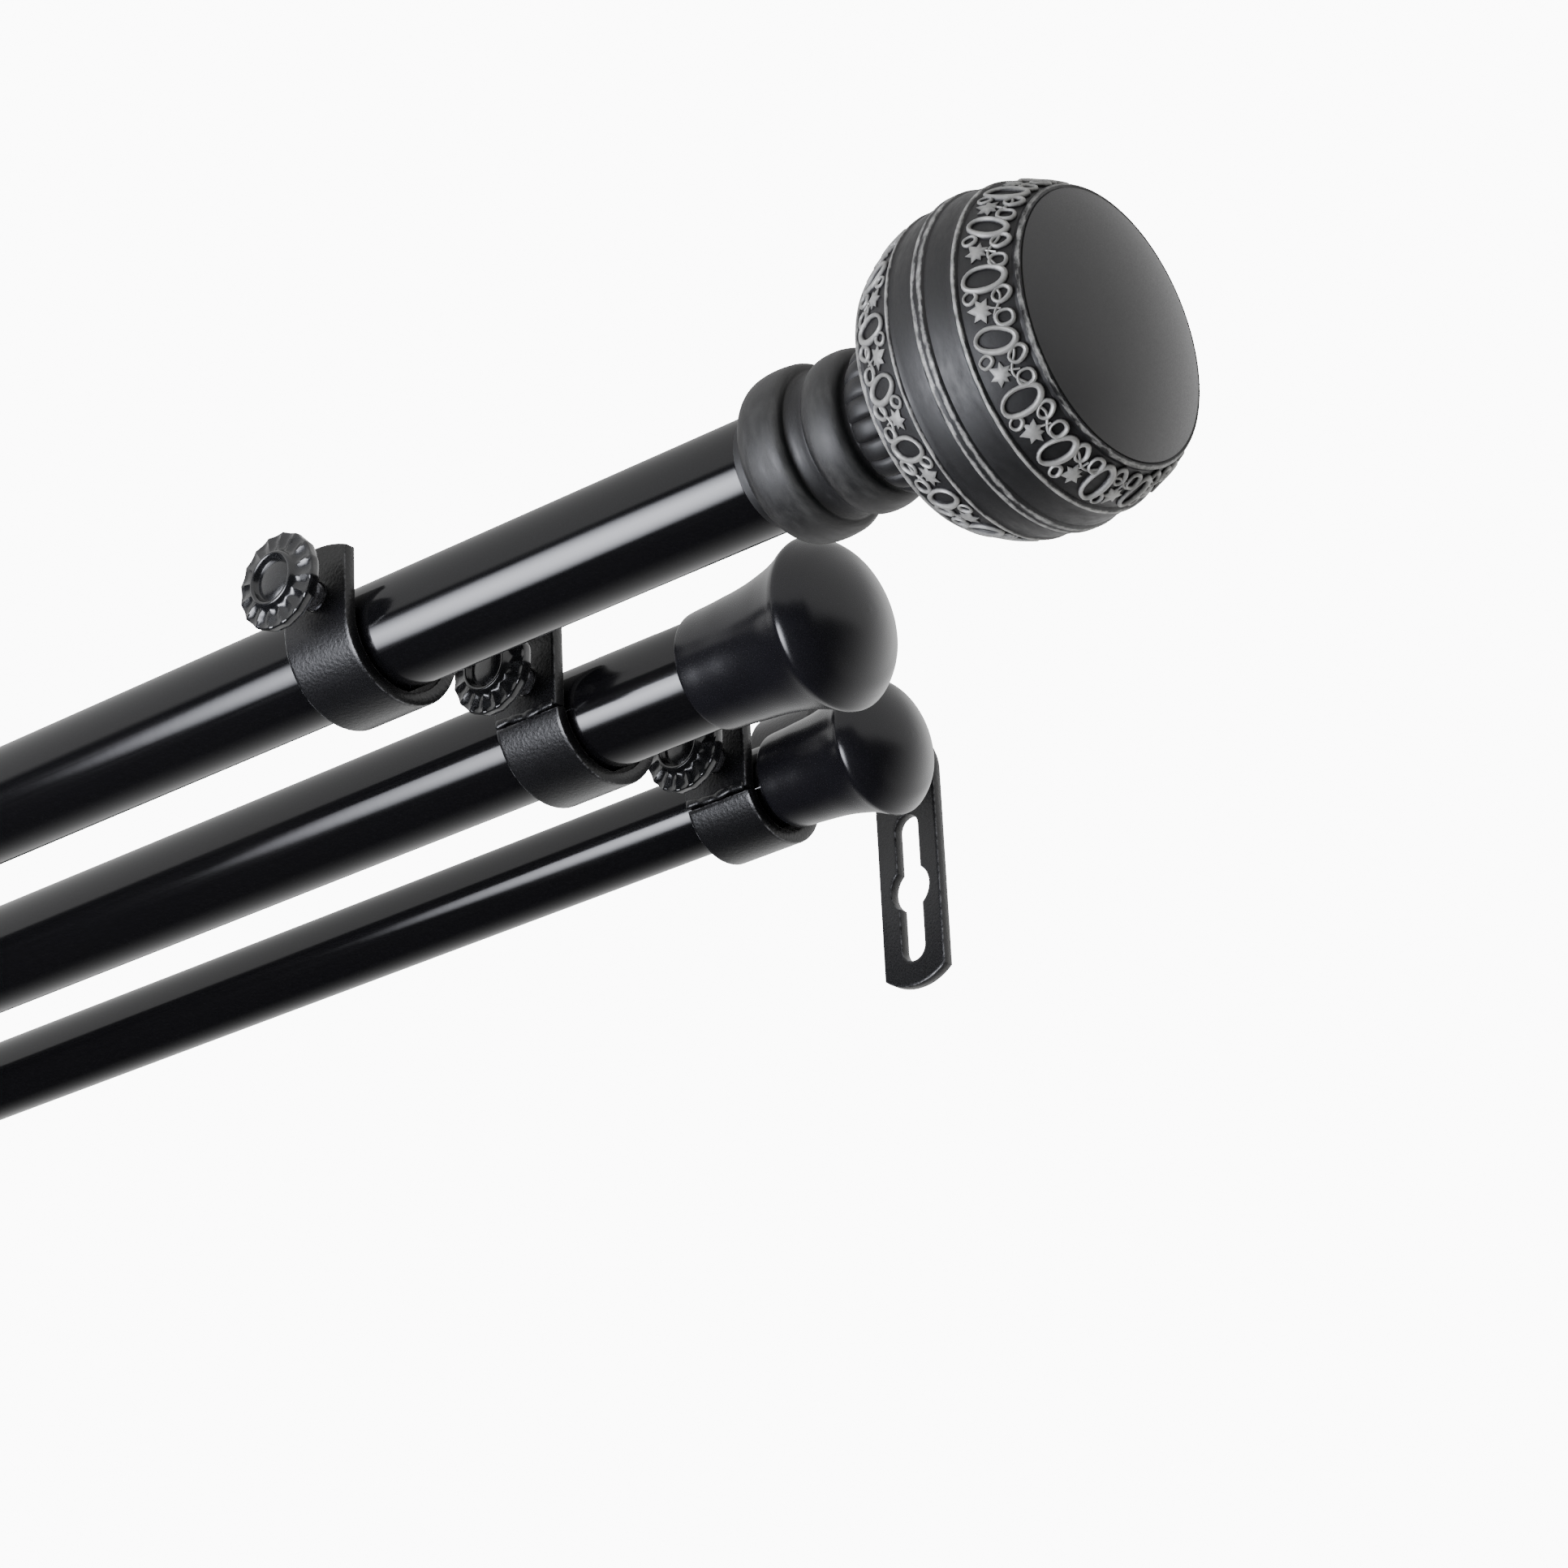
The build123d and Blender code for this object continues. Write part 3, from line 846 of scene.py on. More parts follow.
def knob_wedge():
    """One of the knob's sixteen equal parts, about the X axis, front at X = 0, in metres."""
    mesh = bmesh.new()
    high = mesh.verts.layers.float.new("high")
    # (radius, depth behind the front, share of the panel's hollow here)
    rows = [
        (0.0, 0.5, 0), (1.5, 0.54, 0), (3.0, 0.72, 0), (4.1, 1.05, 0), (4.75, 1.4, 0),
        (5.05, 1.15, 0), (5.3, 0.45, 0), (5.55, 0.07, 0), (5.95, 0.0, 0), (6.3, 0.28, 0),
        (6.5, 0.95, 0), (6.8, 1.25, 0.2), (7.3, 1.34, 0.7), (8.3, 1.42, 1.0), (9.4, 1.52, 1.0),
        (10.2, 1.62, 1.0), (10.6, 1.7, 0.7), (10.95, 1.8, 0.45), (11.15, 2.05, 0.5), (11.2, 2.5, 0.6),
        (11.15, 3.6, 0.6), (10.9, 4.5, 0.4), (10.1, 5.0, 0), (8.6, 5.25, 0), (7.3, 5.5, 0),
        (6.6, 6.1, 0), (6.2, 6.55, 0), (4.0, 6.6, 0), (3.3, 6.6, 0),
    ]
    half = math.pi / KNOB_FLUTES
    steps = 10
    rings = []
    for radius, depth, cut in rows:
        ring = []
        for k in range(steps + 1):
            a = -half + 2 * half * k / steps
            across = abs(a) / half
            # each part is a shallow hollow panel that meets its neighbours in a low crest
            hollow = (1 - across**1.6) * cut
            r = radius - (0.5 * hollow if radius > 10.0 else 0.0)
            d = depth + (0.62 * hollow if depth < 2.2 else 0.0)
            if radius == 0.0:
                ring.append((d, 0.0, 0.0))
            else:
                ring.append((d, r * math.cos(a), r * math.sin(a)))
        rings.append(ring)
    made = []
    for i, ring in enumerate(rings):
        if i == 0:
            made.append([mesh.verts.new(Vector(ring[0]) * MM)] * (steps + 1))
        else:
            made.append([mesh.verts.new(Vector(p) * MM) for p in ring])
    for i in range(len(made) - 1):
        a, b = made[i], made[i + 1]
        for k in range(steps):
            corners = [a[k], b[k], b[k + 1]] if i == 0 else [a[k], b[k], b[k + 1], a[k + 1]]
            mesh.faces.new(corners)
    for vert in mesh.verts:
        vert[high] = 0.5
    return settle(mesh, "knob_wedge", LACQUER, 50.0)


def thumb_screw(side, rod):
    """Fluted knob and threaded stud."""
    stud_low, stud_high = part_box(f"{side}_{rod}_thumb_stud")
    knob_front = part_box(f"{side}_{rod}_thumb_knob")[0].y
    centre = (stud_low + stud_high) / 2
    place = (centre.x, knob_front, centre.z)
    facing = (0.0, 0.0, math.pi / 2)
    knob = grown(
        f"{side}_{rod}_knob",
        knob_wedge(),
        REPEAT,
        50.0,
        Copies=KNOB_FLUTES,
        Turn=2 * math.pi / KNOB_FLUTES,
        Rise=0.0,
        Facing=facing,
        Place=place,
        Weld=0.004 * MM,
        Finish=LACQUER,
    )
    finished(knob, f"{side}_{rod}_knob", "knob", f"{side}_{rod}_thumb_knob")
    length = stud_high.y - stud_low.y
    core = turned(
        [
            (0.0, 0.0, 0), (0.0, 2.2 * MM, 0), (0.5 * MM, 2.72 * MM, 0),
            (length - 1.4 * MM, 2.72 * MM, 0), (length - 0.2 * MM, 1.9 * MM, 0),
            (length, 1.5 * MM, 0), (length, 0.0, 0),
        ],
        28,
    )
    bmesh.ops.rotate(core, verts=core.verts, cent=(0, 0, 0), matrix=Matrix.Rotation(-math.pi / 2, 3, "Y"))
    shape = settle(core, "stud_core", THREAD, 40.0)
    turns = (length - 2.6 * MM) / THREAD_PITCH
    stud = grown(
        f"{side}_{rod}_stud",
        shape,
        SCREW_THREAD,
        60.0,
        Root=2.66 * MM,
        Turns=turns,
        Length=turns * THREAD_PITCH,
        Ridge=0.5 * MM,
        Facing=(-math.pi / 2, 0.0, 0.0),
        Place=(centre.x, stud_low.y, centre.z),
        Finish=THREAD,
    )
    finished(stud, f"{side}_{rod}_screw", "stud", f"{side}_{rod}_thumb_stud")


# ------------------------------------------------------------------ tubes


def tube(rod, half, body):
    """A drawn tube with a softly broken edge at each end."""
    node = f"{rod}_{half}_tube"
    low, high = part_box(node)
    radius = (high.z - low.z) / 2
    wall = (0.8 if half == "outer" else 0.9) * MM
    soft = 0.25 * MM
    centre = ROD_CENTRE[rod]
    a, b = low.x, high.x
    # bore, then round the left edge, the outside, and the right edge
    line = [
        (a + soft, radius - wall, 0), (a, radius - wall + soft, 0), (a, radius - soft, 0),
        (a + soft * 0.3, radius - soft * 0.3, 0), (a + soft, radius, 0), (b - soft, radius, 0),
        (b - soft * 0.3, radius - soft * 0.3, 0), (b, radius - soft, 0),
        (b, radius - wall + soft, 0), (b - soft, radius - wall, 0), (a + soft, radius - wall, 0),
    ]
    mesh = put(turned(line, 96), (0.0, centre.y, centre.z))
    bmesh.ops.remove_doubles(mesh, verts=mesh.verts, dist=1e-7)
    slot = "tube" if half == "outer" else "inner_tube"
    finished(settle(mesh, f"{rod}_{half}_enamelled_tube", ENAMEL), body, slot, node)


# ------------------------------------------------------------------ end caps


def end_cap(side, rod):
    """Trumpet-flared sleeve, a tight round edge and a dome, hollow for the tube."""
    node = f"{side}_{rod}_cap"
    low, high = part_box(node)
    centre = ROD_CENTRE[rod]
    k = (high.z - low.z) / 2 / (20.28 * MM)
    way = WAY[side]
    mouth = low.x if way > 0 else high.x
    tube_node = f"{rod}_{'outer' if side == 'right' else 'inner'}_tube"
    bore = size_of(tube_node).z / 2 / k + 0.02 * MM / k
    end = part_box(tube_node)
    depth = abs((end[1].x if way > 0 else end[0].x) - mouth) / k + 0.2 * MM / k
    outline = [
        (0.15, 13.3), (0.0, 13.5), (0.25, 13.85), (0.9, 14.0), (3.0, 14.15), (6.0, 14.3),
        (10.0, 14.6), (14.0, 14.9), (18.0, 15.4), (22.0, 16.15), (26.0, 17.1), (29.0, 18.1),
        (31.0, 18.95), (32.6, 19.75), (33.6, 20.15), (34.3, 20.28), (35.2, 20.05), (36.5, 19.3),
        (38.0, 18.2), (39.8, 16.4), (41.5, 13.6), (43.0, 10.5), (44.2, 6.96), (44.9, 3.3), (45.1, 0.0),
    ]
    outside = through(outline, 4)
    profile = [(depth, 0.0, 0.0), (depth, bore, 0.0), (0.15 * MM, bore, 0.0)]
    profile += [(x * MM, max(r, 0.0) * MM, 0.0) for x, r in outside]
    profile[-1] = (profile[-1][0], 0.0, 0.0)
    mesh = turned([(x * k, r * k, h) for x, r, h in profile], 96)
    put(mesh, (mouth, centre.y, centre.z), way)
    bmesh.ops.remove_doubles(mesh, verts=mesh.verts, dist=1e-7)
    body = f"{rod}_rod_{side}"
    finished(settle(mesh, f"{side}_{rod}_end_cap", CAP, 40.0), body, "cap", node)


# ------------------------------------------------------------------ ball finial

BALL_R = 35.5
FACE_R = 75.0
BALL_X = 66.2  # from the collar's back face to the ball's middle
RIM_R = 28.9
RIM_X = BALL_X + math.sqrt(BALL_R**2 - RIM_R**2)
RELIEF_R = 32.3  # middle radius of the relief bands
VINES = 16
GADROONS = 22


def ball_point(t, s, lift, mirror=1.0):
    """A point over the ball: t round it and s from its waist, both along the surface, in mm."""
    reach = BALL_R - 0.75 + lift
    angle = t / RELIEF_R
    tilt = s / BALL_R
    radius = reach * math.cos(tilt)
    return Vector(
        (
            BALL_X + mirror * reach * math.sin(tilt),
            radius * math.cos(angle),
            radius * math.sin(angle),
        )
    )


def raised_line(mesh, high, path, width, height, mirror, closed=False):
    """A rounded ridge along a path of (t, s, scale) over the ball."""
    section = [
        (-0.5, -0.35), (-0.47, 0.25), (-0.3, 0.8), (0.0, 1.0), (0.3, 0.8), (0.47, 0.25), (0.5, -0.35),
    ]
    rings = []
    count = len(path)
    for i, (t, s, scale) in enumerate(path):
        before = path[(i - 1) % count] if closed or i > 0 else path[i]
        after = path[(i + 1) % count] if closed or i < count - 1 else path[i]
        dt, ds = after[0] - before[0], after[1] - before[1]
        size = math.hypot(dt, ds) or 1.0
        nt, ns = -ds / size, dt / size
        ring = []
        for across, up in section:
            shift = across * width * scale
            lift = up * height * (0.6 + 0.4 * scale)
            vert = mesh.verts.new(ball_point(t + nt * shift, s + ns * shift, lift, mirror) * MM)
            vert[high] = max(0.0, min(1.0, 0.25 + 0.85 * up))
            ring.append(vert)
        rings.append(ring)
    pairs = list(zip(rings, rings[1:]))
    if closed:
        pairs.append((rings[-1], rings[0]))
    for a, b in pairs:
        for k in range(len(section) - 1):
            mesh.faces.new((a[k], b[k], b[k + 1], a[k + 1]))
        mesh.faces.new((a[0], a[-1], b[-1], b[0]))
    if not closed:
        mesh.faces.new(rings[0])
        mesh.faces.new(rings[-1])


def oval(t, s, across, along, lean, wobble, count=26):
    """A closed oval path, long across the band, leaning a little."""
    path = []
    for k in range(count):
        a = 2 * math.pi * k / count
        swell = 1 + wobble * math.sin(2 * a + t)
        p, q = along * math.cos(a) * swell, across * math.sin(a)
        c, d = math.cos(lean), math.sin(lean)
        path.append((t + p * c - q * d, s + p * d + q * c, 1.0 + 0.25 * math.sin(a + 0.8)))
    return path


def ivy_leaf(mesh, high, t, s, size, lean, mirror):
    """A five-pointed leaf, raised along its middle."""
    outline = [
        (0.0, -0.55), (0.28, -0.85), (0.42, -0.45), (0.98, -0.42), (0.62, 0.02), (0.86, 0.52),
        (0.36, 0.42), (0.0, 1.1), (-0.36, 0.42), (-0.86, 0.52), (-0.62, 0.02), (-0.98, -0.42),
        (-0.42, -0.45), (-0.28, -0.85),
    ]
    c, d = math.cos(lean), math.sin(lean)

    def at(p, q, lift):
        return ball_point(
            t + size * (p * c - q * d), s + size * (p * d + q * c), lift, mirror
        ) * MM

    middle = mesh.verts.new(at(0.0, -0.1, 0.78))
    middle[high] = 1.0
    inner, rim, foot = [], [], []
    for i, (p, q) in enumerate(outline):
        deep = 0.5 if i % 2 else 0.62
        for ring, scale, lift, level in (
            (inner, 0.55, deep + 0.06, 0.95), (rim, 1.0, 0.34, 0.7), (foot, 1.04, -0.3, 0.1)
        ):
            vert = mesh.verts.new(at(p * scale, q * scale, lift))
            vert[high] = level
            ring.append(vert)
    base = mesh.verts.new(at(0.0, -0.1, -0.3))
    count = len(outline)
    for k in range(count):
        n = (k + 1) % count
        mesh.faces.new((middle, inner[k], inner[n]))
        mesh.faces.new((inner[k], rim[k], rim[n], inner[n]))
        mesh.faces.new((rim[k], foot[k], foot[n], rim[n]))
        mesh.faces.new((base, foot[n], foot[k]))


def vine_unit(mirror):
    """An eighth of a relief band: two ovals, six small rings, two leaves and the vine between."""
    mesh = bmesh.new()
    high = mesh.verts.layers.float.new("high")
    mesh.loops.layers.uv.new("UVMap")
    pitch = 2 * math.pi * RELIEF_R / VINES
    for n, (lean, grow, turn) in enumerate(((0.16, 1.0, 0.35), (-0.14, 0.94, -0.25))):
        t = n * pitch
        ring = oval(t, 14.6, 4.25 * grow, 2.5 * grow, lean, 0.07)
        raised_line(mesh, high, ring, 1.35, 0.9, mirror, True)
        ring = oval(t + 3.9, 17.7, 1.9, 1.5, 0.5, 0.10, 18)
        raised_line(mesh, high, ring, 1.05, 0.8, mirror, True)
        ring = oval(t + 8.9, 17.5, 1.75 * grow, 1.6, -0.5, 0.12, 18)
        raised_line(mesh, high, ring, 1.0, 0.78, mirror, True)
        ring = oval(t + 3.4, 11.4, 1.35, 1.2 * grow, 0.2, 0.12, 16)
        raised_line(mesh, high, ring, 0.85, 0.62, mirror, True)
        ivy_leaf(mesh, high, t + 6.5, 13.2, 2.55 * grow, 2.6 + turn, mirror)
        vine = []
        for k in range(15):
            f = k / 14
            vine.append((t + 1.8 + 9.2 * f, 16.2 + 1.1 * math.sin(f * math.pi * 2 + n) + 0.6 * f, 0.85))
        raised_line(mesh, high, vine, 0.85, 0.6, mirror)
        stem = [(t + 6.3 + 0.12 * k, 15.0 + 0.42 * k, 0.8) for k in range(6)]
        raised_line(mesh, high, stem, 0.7, 0.6, mirror)
    return settle(mesh, "vine_unit", BALL, 45.0)


def gadroon():
    """One rounded lobe of the ring between neck and ball, in metres."""
    half = math.pi / GADROONS
    rows = []
    stations = 14
    for i in range(stations + 1):
        f = i / stations
        bulge = math.sin(math.pi * f) ** 0.55 if 0 < f < 1 else 0.0
        rows.append((30.6 + 10.8 * f, 13.7 + 3.3 * bulge, bulge))
    mesh = bmesh.new()
    high = mesh.verts.layers.float.new("high")
    mesh.loops.layers.uv.new("UVMap")
    steps = 10
    rings = []
    for x, radius, bulge in rows:
        ring = []
        for k in range(steps + 1):
            a = -half + 2 * half * k / steps
            crown = math.sqrt(max(0.0, 1 - (abs(a) / half) ** 2.4))
            r = radius - (1 - crown) * 1.0 * (0.25 + 0.75 * bulge)
            vert = mesh.verts.new(Vector((x, r * math.cos(a), r * math.sin(a))) * MM)
            vert[high] = 0.05 + 0.3 * crown * bulge
            ring.append(vert)
        rings.append(ring)
    for a, b in zip(rings, rings[1:]):
        for k in range(steps):
            mesh.faces.new((a[k], b[k], b[k + 1], a[k + 1]))
    return settle(mesh, "gadroon", NECK, 50.0)


def neck_profile():
    """Collar, cove, second ring and groove: (x, radius, high) in mm from the collar's back."""
    points = [
        (0.0, 12.74, 0.0), (3.4, 12.8, 0.0), (3.7, 13.6, 0.1), (3.9, 15.2, 0.4), (4.6, 16.8, 0.7),
        (6.4, 18.0, 0.85), (9.2, 18.5, 0.8), (12.0, 18.5, 0.8), (14.4, 18.2, 0.95), (15.6, 17.5, 0.9),
        (16.0, 16.7, 0.2), (16.2, 15.9, 0.05), (17.2, 15.5, 0.25), (18.8, 15.5, 0.35),
        (20.2, 15.8, 0.25), (20.7, 15.9, 0.05), (21.1, 16.4, 0.5), (22.4, 17.0, 0.9),
        (24.6, 17.2, 0.95), (26.8, 17.0, 0.85), (28.6, 16.4, 0.8), (29.5, 15.4, 0.4),
        (29.8, 14.2, 0.0), (30.4, 13.5, 0.0), (31.4, 13.6, 0.1),
    ]
    return through(points, 4)


def ball_profile():
    """The ball's turned surface: plain bands, three ridges and two sunk relief bands, up to the rim."""
    def at(s, lift, level):
        reach = BALL_R + lift
        return (BALL_X + reach * math.sin(s / BALL_R), reach * math.cos(s / BALL_R), level)

    edge = BALL_R * math.acos(RIM_R / BALL_R)
    rows = [(41.0, 13.2, 0.1), (42.6, 13.6, 0.15), (43.6, 16.5, 0.2), (44.4, 24.0, 0.2)]
    rows += [at(-edge, -1.4, 0.25), at(-edge, -0.45, 0.6), at(-edge + 0.35, -0.05, 0.95)]
    rows += [at(-edge + 0.95, -0.05, 0.95), at(-edge + 1.3, -0.55, 0.3), at(-edge + 1.7, -0.8, 0.02)]
    rows += [at(-9.9 - k * 1.0, -0.78, 0.12) for k in range(9, -1, -1)]
    rows += [at(-9.2, -0.8, 0.02), at(-8.9, -0.35, 0.4), at(-8.6, -0.05, 0.9), at(-8.1, -0.05, 0.85)]
    rows += [at(-7.8, -0.45, 0.2), at(-7.4, -0.6, 0.0)]
    rows += [at(-6.4 + k * 1.05, -0.55, 0.08) for k in range(5)]
    rows += [at(-1.7, -0.6, 0.0), at(-1.35, -0.2, 0.5), at(-0.95, -0.02, 0.85), at(-0.35, -0.03, 0.5)]
    rows += [at(0.0, -0.14, 0.15), at(0.35, -0.03, 0.5), at(0.95, -0.02, 0.85), at(1.35, -0.2, 0.5)]
    rows += [at(1.7, -0.6, 0.0)]
    rows += [at(2.2 + k * 1.05, -0.55, 0.08) for k in range(5)]
    rows += [at(7.4, -0.6, 0.0), at(7.8, -0.45, 0.2), at(8.1, -0.05, 0.85), at(8.6, -0.05, 0.9)]
    rows += [at(8.9, -0.35, 0.4), at(9.2, -0.8, 0.02)]
    rows += [at(9.9 + k * 1.0, -0.78, 0.12) for k in range(10)]
    rows += [at(edge - 1.9, -0.8, 0.02), at(edge - 1.5, -0.5, 0.2), at(edge - 1.15, -0.05, 0.55)]
    rows += [at(edge - 0.5, -0.02, 0.75), at(edge - 0.1, -0.15, 0.35)]
    rows += [at(edge + 0.05, -0.9, 0.2)]
    return rows


def face_profile():
    """The end face: a shallow dome that springs from inside the rim."""
    face_rim = RIM_R - 0.6
    apex = RIM_X + FACE_R - math.sqrt(FACE_R**2 - RIM_R**2)
    rows = [(RIM_X - 2.0, 0.0, 0.0), (RIM_X - 2.0, face_rim, 0.0), (RIM_X - 0.1, face_rim, 0.0)]
    for k in range(1, 17):
        r = face_rim * math.cos(math.pi / 2 * k / 16)
        sag = FACE_R - math.sqrt(FACE_R**2 - r * r)
        rows.append((apex - sag - 0.35 * (r / face_rim) ** 6, r, 0.46))
    rows[-1] = (apex, 0.0, 0.46)
    return rows


def finial(side):
    """Neck, gadrooned ring, ball and its two relief bands."""
    node = f"{side}_finial"
    low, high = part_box(node)
    way = WAY[side]
    collar = low.x if way > 0 else high.x
    centre = ROD_CENTRE["front"]
    origin = (collar, centre.y, centre.z)
    body = f"front_rod_{side}"
    bore = [(22.0, 0.0, 0.0), (22.0, 4.02, 0.0), (0.0, 4.02, 0.0)]
    neck = [(x * MM, r * MM, h) for x, r, h in [*bore, *neck_profile(), (31.6, 0.0, 0.0)]]
    mesh = put(turned(neck, 128), origin, way)
    bmesh.ops.remove_doubles(mesh, verts=mesh.verts, dist=1e-7)
    pieces = [settle(mesh, f"{side}_finial_neck", NECK, 38.0)]

    back, rim = ball_profile()[0], ball_profile()[-1]
    rows = [(back[0], 0.0, 0.0), *ball_profile(), (rim[0], 0.0, 0.0)]
    ball = [(x * MM, r * MM, h) for x, r, h in rows]
    mesh = put(turned(ball, 160), origin, way)
    bmesh.ops.remove_doubles(mesh, verts=mesh.verts, dist=1e-7)
    pieces.append(settle(mesh, f"{side}_finial_ball", BALL, 30.0))
    face = [(x * MM, r * MM, h) for x, r, h in face_profile()]
    mesh = put(turned(face, 128), origin, way)
    bmesh.ops.remove_doubles(mesh, verts=mesh.verts, dist=1e-7)
    pieces.append(settle(mesh, f"{side}_finial_face", FACE, 30.0))

    facing = (0.0, 0.0, 0.0) if way > 0 else (0.0, 0.0, math.pi)
    pieces.append(
        grown(
            f"{side}_finial_gadroons", gadroon(), REPEAT, 50.0, Copies=GADROONS,
            Turn=2 * math.pi / GADROONS, Rise=0.0, Facing=facing, Place=origin, Weld=0.003 * MM,
            Finish=NECK,
        )
    )
    for band, mirror in (("front", 1.0), ("rear", -1.0)):
        pieces.append(
            grown(
                f"{side}_finial_{band}_vine", vine_unit(mirror), REPEAT, 45.0, Copies=VINES // 2,
                Turn=4 * math.pi / VINES, Rise=0.0, Facing=facing, Place=origin, Weld=0.0, Finish=BALL,
            )
        )
    for piece in pieces:
        finished(piece, body, "finial", node)


# ------------------------------------------------------------------ build every piece

for side in SIDES:
    hooks(side)
    for rod in ("middle", "back"):
        weld_bead(side, rod)
        end_cap(side, rod)
    for rod in RODS:
        thumb_screw(side, rod)
    finial(side)

for rod in RODS:
    tube(rod, "outer", f"{rod}_rod_right")
    tube(rod, "inner", f"{rod}_rod_left")

# CAD pieces that stay, all hidden inside others
for rod in RODS:
    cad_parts[f"{rod}_glide"].data.materials[0] = NYLON
for side in SIDES:
    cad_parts[f"{side}_end_plug"].data.materials[0] = ABS
    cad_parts[f"{side}_finial_stud"].data.materials[0] = ZINC


# ------------------------------------------------------------------ floor, light and camera


def studio_floor():
    """A plain pale floor well below the rods, clear from underneath."""
    half = 12.0
    data = bpy.data.meshes.new("studio_floor")
    data.from_pydata(
        [(-half, -half, -0.62), (half, -half, -0.62), (half, half, -0.62), (-half, half, -0.62)],
        [],
        [(0, 1, 2, 3)],
    )
    floor = bpy.data.objects.new("studio_floor", data)
    bpy.context.scene.collection.objects.link(floor)
    material = bpy.data.materials.new("pale_paper_floor")
    material.use_nodes = True
    tree = material.node_tree
    tree.nodes.clear()
    fibre = grain(tree, 2.0 * MM, 2.0)
    paper = add(
        tree,
        "ShaderNodeBsdfPrincipled",
        {"Base Color": tint(tree, fibre.outputs[0], "#e6e5e2", "#ecebe8"), "Roughness": 0.9},
    )
    clear = add(tree, "ShaderNodeBsdfTransparent")
    under = add(tree, "ShaderNodeNewGeometry")
    ray = add(tree, "ShaderNodeLightPath")
    seen = add(
        tree, "ShaderNodeMath", {0: under.outputs["Backfacing"], 1: ray.outputs["Is Glossy Ray"]},
        operation="MAXIMUM",
    )
    mix = add(tree, "ShaderNodeMixShader", {0: seen.outputs[0], 1: paper.outputs[0], 2: clear.outputs[0]})
    add(tree, "ShaderNodeOutputMaterial", {"Surface": mix.outputs[0]})
    data.materials.append(material)


def studio_world():
    """Pale all round; in reflections, bright above, dark below and mid grey low behind."""
    world = bpy.data.worlds.new("studio")
    bpy.context.scene.world = world
    world.use_nodes = True
    tree = world.node_tree
    tree.nodes.clear()
    place = add(tree, "ShaderNodeTexCoord")
    axes = add(tree, "ShaderNodeSeparateXYZ", {0: place.outputs["Generated"]})
    upper = add(
        tree, "ShaderNodeMapRange",
        {0: axes.outputs["Z"], 1: 0.07, 2: 0.20, 3: 0.03, 4: 1.0}, interpolation_type="SMOOTHSTEP",
    )
    onward = add(tree, "ShaderNodeMath", {0: axes.outputs["Y"], 1: 0.0}, operation="MAXIMUM")
    square = add(tree, "ShaderNodeMath", {0: onward.outputs[0], 1: 2.0}, operation="POWER")
    behind = add(tree, "ShaderNodeMath", {0: square.outputs[0], 1: 2.1}, operation="MULTIPLY")
    level = add(tree, "ShaderNodeMath", {0: upper.outputs[0], 1: behind.outputs[0]}, operation="MAXIMUM")
    ray = add(tree, "ShaderNodeLightPath")
    shown = add(tree, "ShaderNodeMix", {0: ray.outputs["Is Camera Ray"], 2: level.outputs[0], 3: 11.0})
    background = add(
        tree, "ShaderNodeBackground", {"Color": (1.0, 1.0, 1.0, 1.0), "Strength": shown.outputs[0]}
    )
    add(tree, "ShaderNodeOutputWorld", {"Surface": background.outputs[0]})


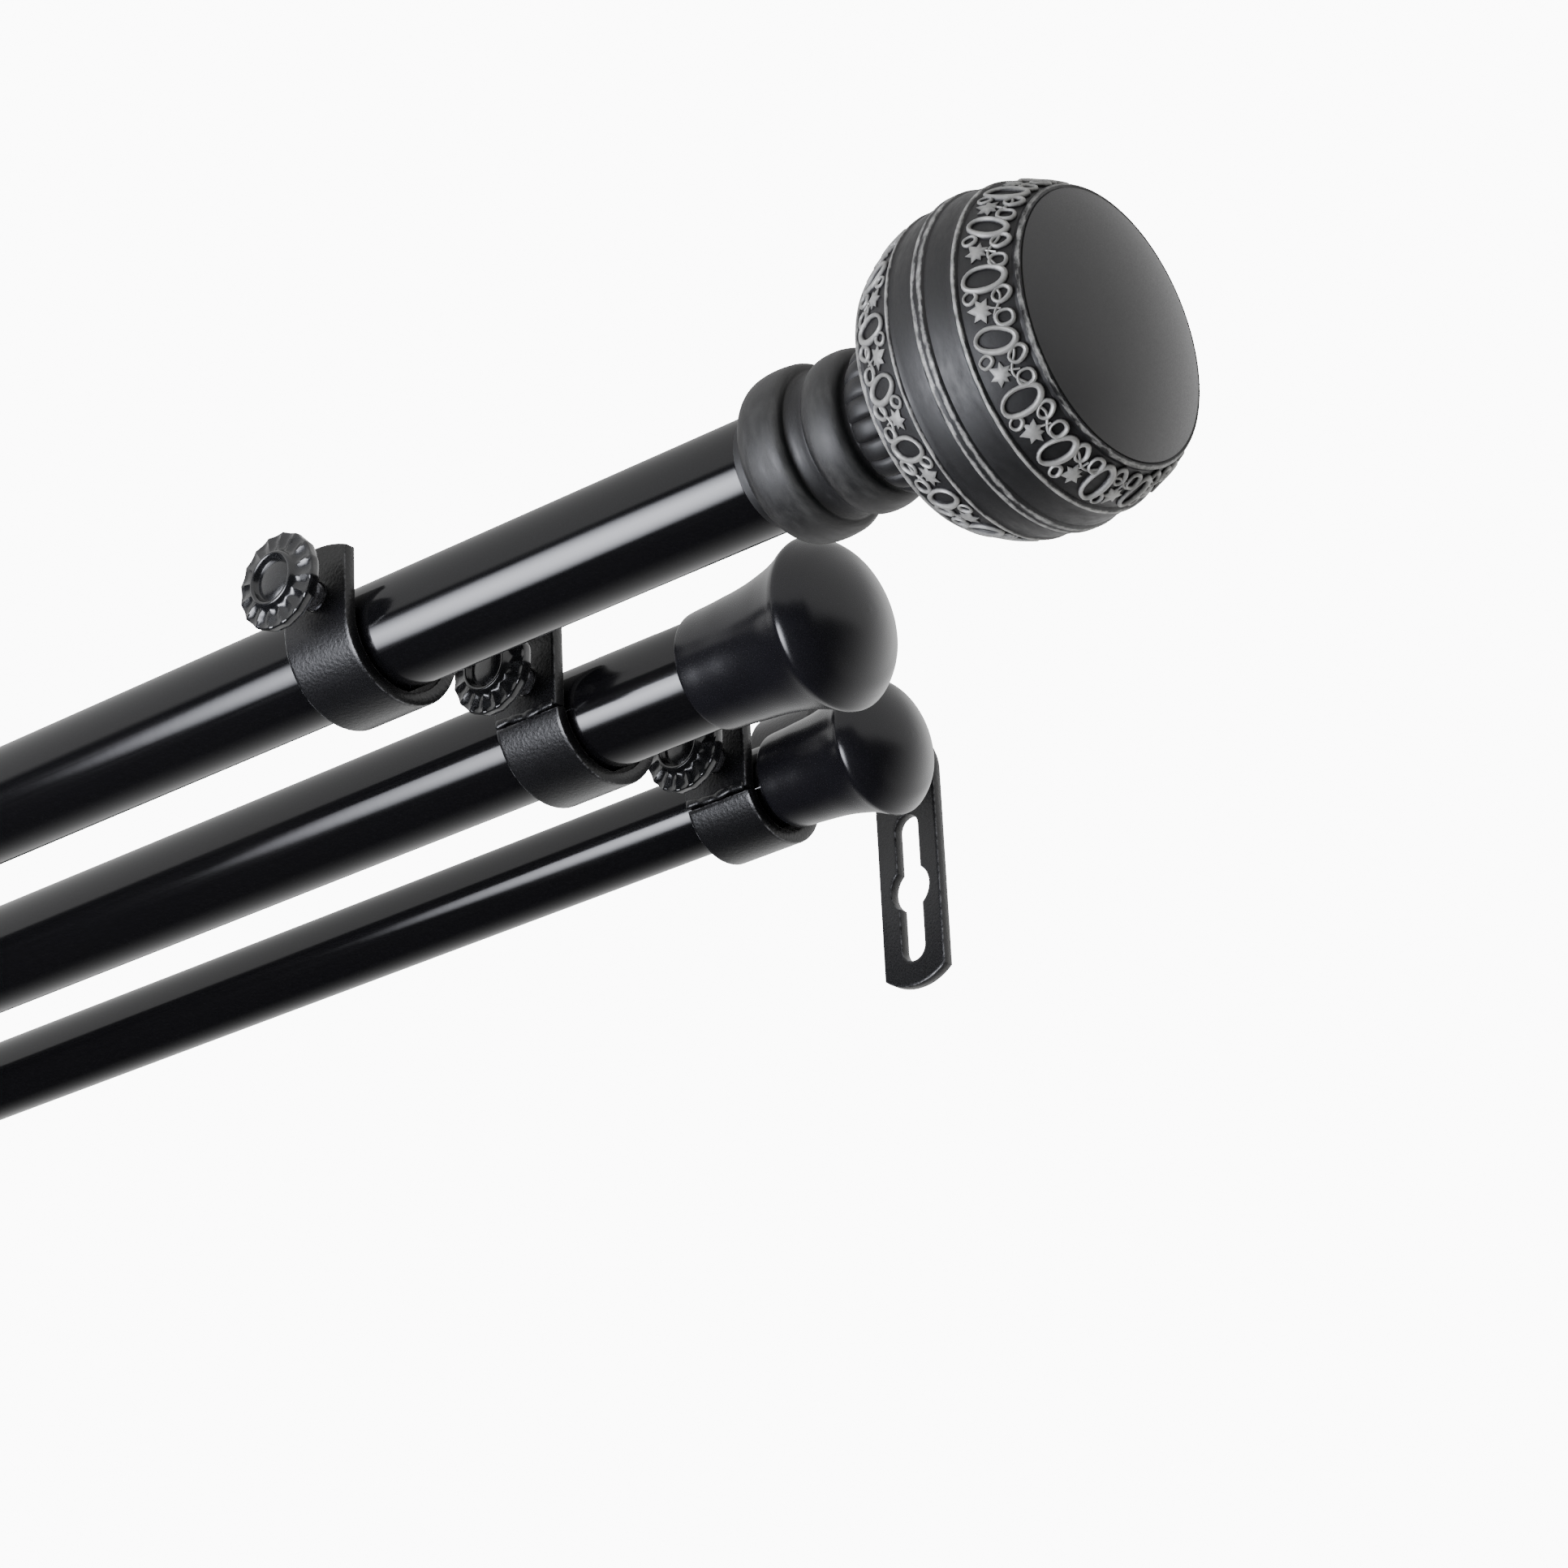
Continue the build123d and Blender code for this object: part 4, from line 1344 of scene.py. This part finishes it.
def soft_umbrella(place, facing, radius, radiance):
    """A round soft light, brightest in its middle, clear from behind and to the camera."""
    mesh = bmesh.new()
    bmesh.ops.create_circle(mesh, cap_ends=True, segments=64, radius=radius)
    data = bpy.data.meshes.new("soft_umbrella")
    mesh.to_mesh(data)
    mesh.free()
    lamp = bpy.data.objects.new("soft_umbrella", data)
    lamp.location = place
    lamp.rotation_mode = "QUATERNION"
    lamp.rotation_quaternion = Vector(facing).to_track_quat("Z", "Y")
    lamp.scale = (1.4, 1.0, 1.0)
    lamp.visible_camera = False
    bpy.context.scene.collection.objects.link(lamp)
    material = bpy.data.materials.new("lit_umbrella_cloth")
    material.use_nodes = True
    tree = material.node_tree
    tree.nodes.clear()
    spot = add(tree, "ShaderNodeTexCoord")
    away = add(tree, "ShaderNodeVectorMath", {0: spot.outputs["Object"]}, operation="LENGTH")
    share = add(tree, "ShaderNodeMath", {0: away.outputs["Value"], 1: radius}, operation="DIVIDE")
    square = add(tree, "ShaderNodeMath", {0: share.outputs[0], 1: 2.0}, operation="POWER")
    left = add(tree, "ShaderNodeMath", {0: 1.0, 1: square.outputs[0]}, operation="SUBTRACT")
    clipped = add(tree, "ShaderNodeMath", {0: left.outputs[0], 1: 0.0}, operation="MAXIMUM")
    falling = add(tree, "ShaderNodeMath", {0: clipped.outputs[0], 1: 1.5}, operation="POWER")
    level = add(tree, "ShaderNodeMath", {0: falling.outputs[0], 1: radiance}, operation="MULTIPLY")
    lit = add(
        tree, "ShaderNodeEmission", {"Color": hex_colour("#f4f6ff"), "Strength": level.outputs[0]}
    )
    clear = add(tree, "ShaderNodeBsdfTransparent")
    glowing = add(tree, "ShaderNodeAddShader", {0: lit.outputs[0], 1: clear.outputs[0]})
    side = add(tree, "ShaderNodeNewGeometry")
    mix = add(
        tree, "ShaderNodeMixShader",
        {0: side.outputs["Backfacing"], 1: glowing.outputs[0], 2: clear.outputs[0]},
    )
    add(tree, "ShaderNodeOutputMaterial", {"Surface": mix.outputs[0]})
    data.materials.append(material)


def long_lens_camera():
    """Below and to the right of the bracket, looking up to the left, with a long lens."""
    data = bpy.data.cameras.new("camera")
    data.sensor_width = 36.0
    data.lens = 108.395
    data.clip_start, data.clip_end = 0.05, 30.0
    camera = bpy.data.objects.new("camera", data)
    right = Vector((0.75933, 0.64912, -0.04548))
    down = Vector((-0.28937, 0.27424, -0.91709))
    onward = right.cross(down)
    camera.matrix_world = Matrix.Translation(
        (0.6633, ROD_CENTRE["front"].y - 0.6675, ROD_Z - 0.4421)
    ) @ Matrix((right, -down, -onward)).transposed().to_4x4()
    bpy.context.scene.collection.objects.link(camera)
    bpy.context.scene.camera = camera


studio_floor()
studio_world()
front = ROD_CENTRE["front"]
soft_umbrella((-0.10, front.y - 0.594, front.z - 0.271), (0.14, 0.90, 0.40), 0.30, 24.0)
long_lens_camera()
